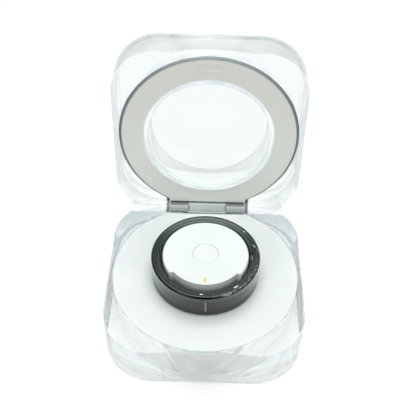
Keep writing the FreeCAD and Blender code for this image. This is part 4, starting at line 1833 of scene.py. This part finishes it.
@dataclass
class Studio:
    """Floor, lamps, world and camera."""

    elevation_deg: float = 45.7736
    turn_deg: float = -0.0097
    roll_deg: float = 1.5545
    distance_mm: float = 164.966
    focal_px: float = 713.9267
    image_px: float = 416.0
    aim_mm: Point = (0.2645, 0.0828, 36.744)
    sensor_mm: float = 36.0
    nearest_m: float = 0.005
    farthest_m: float = 20.0
    floor_half_m: float = 1.5
    lamp_tint: Rgb = (0.955, 1.0, 0.985)
    lamp_aim_m: Point = (0.0, 0.0, 0.02)
    lamps: tuple[SoftBox, ...] = (
        SoftBox("top_box", (0.0, 0.1, 0.6), (0.45, 0.45), 2.1),
        SoftBox("left_window", (-0.35, -0.4, 0.35), (0.22, 0.3), 0.5),
        SoftBox("right_window", (0.35, -0.4, 0.35), (0.22, 0.3), 0.5),
    )
    room: tuple[tuple[float, Rgb], ...] = (
        (0.0, (0.66, 0.72, 0.76)),
        (0.35, (0.82, 0.87, 0.9)),
        (0.6, (0.97, 1.0, 1.0)),
    )
    room_light: float = 0.4
    back_rise: Span = (-0.6, 0.3)
    back_gain: float = 0.35
    wall_tone: Rgb = (0.6, 0.69, 0.75)
    panels: Grain = Grain(420.0, 1.0, 0.5)
    panel_drawn: float = 0.5
    panel_rise: Span = (0.5, 0.54)
    panel_top: Span = (0.25, 0.6)
    stand: Point = (0.0, -0.6974, 0.7166)
    stand_deg: Span = (20.0, 14.0)
    stand_tone: Rgb = (0.05, 0.05, 0.05)
    bounces: int = 32
    glossy_bounces: int = 16

    def camera(self) -> None:
        """Place the camera of the photograph."""
        up_angle, turn, roll = map(math.radians, (self.elevation_deg, self.turn_deg, self.roll_deg))
        flat = math.cos(up_angle)
        back = Vector((math.sin(turn) * flat, -math.cos(turn) * flat, math.sin(up_angle)))
        level = (-back).cross(Vector((0, 0, 1))).normalized()
        tall = level.cross(-back)
        right = level * math.cos(roll) + tall * math.sin(roll)
        top = tall * math.cos(roll) - level * math.sin(roll)
        turned = Matrix((right, top, back)).transposed().to_4x4()
        place = (Vector(self.aim_mm) + back * self.distance_mm) * MM
        data = bpy.data.cameras.new("photo_camera")
        data.sensor_width = self.sensor_mm
        data.lens = self.focal_px / self.image_px * self.sensor_mm
        data.clip_start = self.nearest_m
        data.clip_end = self.farthest_m
        camera = bpy.data.objects.new("photo_camera", data)
        bpy.context.scene.collection.objects.link(camera)
        camera.matrix_world = Matrix.Translation(place) @ turned
        bpy.context.scene.camera = camera

    def lamp(self, box: SoftBox) -> None:
        """Add one soft box, turned to the case.

        Args:
            box: the lamp's sizes.
        """
        data = bpy.data.lights.new(box.name, "AREA")
        data.shape = "RECTANGLE"
        data.size, data.size_y = box.size
        data.energy = box.power
        data.color = self.lamp_tint
        lamp = bpy.data.objects.new(box.name, data)
        bpy.context.scene.collection.objects.link(lamp)
        lamp.location = box.place
        lamp.rotation_mode = "QUATERNION"
        lamp.rotation_quaternion = (Vector(self.lamp_aim_m) - Vector(box.place)).to_track_quat("-Z", "Y")

    def floor(self) -> None:
        """Lay the floor."""
        mesh = bpy.data.meshes.new("studio_floor")
        half = self.floor_half_m
        corners = [(-half, -half, 0), (half, -half, 0), (half, half, 0), (-half, half, 0)]
        mesh.from_pydata(corners, [], [range(len(corners))])
        mesh.materials.append(FLOOR.material())
        floor = bpy.data.objects.new("studio_floor", mesh)
        bpy.context.scene.collection.objects.link(floor)

    def world(self) -> None:
        """Room light: bright overhead, dimmer at eye level, white where it is looked at."""
        world = bpy.data.worlds.new("studio_room")
        bpy.context.scene.world = world
        world.use_nodes = True
        graph = Graph(world.node_tree)
        toward = graph.node("ShaderNodeTexCoord")["Generated"]
        across, ahead, height = graph.axes(toward)
        share = height + ahead.step(*self.back_rise) * self.back_gain
        room = graph.node("ShaderNodeValToRGB", {"stops": self.room}, {"Fac": share})["Color"]
        around = graph.vector(ahead.angle_to(across), height * self.panel_drawn, 0.0)
        panels = graph.noise(around, self.panels).step(*self.panel_rise)
        walls = graph.cover(panels * (1 - height.step(*self.panel_top)), room, self.wall_tone)
        aim = {0: toward, 1: self.stand}
        nearness = graph.node("ShaderNodeVectorMath", {"operation": "DOT_PRODUCT"}, aim)["Value"]
        spot = nearness.step(*(math.cos(math.radians(angle)) for angle in self.stand_deg))
        rays = graph.node("ShaderNodeLightPath")
        mirrored = graph.cover(spot * rays["Is Glossy Ray"], walls, self.stand_tone)
        bent = rays["Is Glossy Ray"].higher(rays["Is Transmission Ray"])
        lit = graph.flat(Flat.ROOM, room, self.room_light)
        shown = graph.mixed(bent, lit, graph.flat(Flat.ROOM, mirrored))
        mixed = graph.mixed(rays["Is Camera Ray"], shown, graph.flat(Flat.ROOM, WHITE))
        graph.node("ShaderNodeOutputWorld", None, {"Surface": mixed})

    def build(self) -> None:
        """Set up the whole studio."""
        bpy.context.scene.view_settings.view_transform = "Standard"
        bpy.context.scene.cycles.max_bounces = self.bounces
        bpy.context.scene.cycles.transmission_bounces = self.bounces
        bpy.context.scene.cycles.glossy_bounces = self.glossy_bounces
        self.camera()
        self.floor()
        self.world()
        for box in self.lamps:
            self.lamp(box)


def main() -> None:
    """Build, dress and light the ring case."""
    logging.basicConfig(level=logging.INFO, format="%(message)s")
    dresser = Dresser()
    shaper = Shaper()
    dresser.built(ClearBase(shaper).build(), "base_shell")
    dresser.built(ClearLid(shaper).build(), "lid_shell")
    WhiteBody(dresser, shaper).dress()
    HingeAndLidTrim(dresser).dress()
    SmartRing(dresser, shaper).dress()
    Electronics(dresser, shaper).dress()
    missing = sorted(set(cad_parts) - set(dresser.done))
    LOG.info("nodes without a finish: %s", missing)
    Studio().build()


if __name__ == "__main__":
    main()
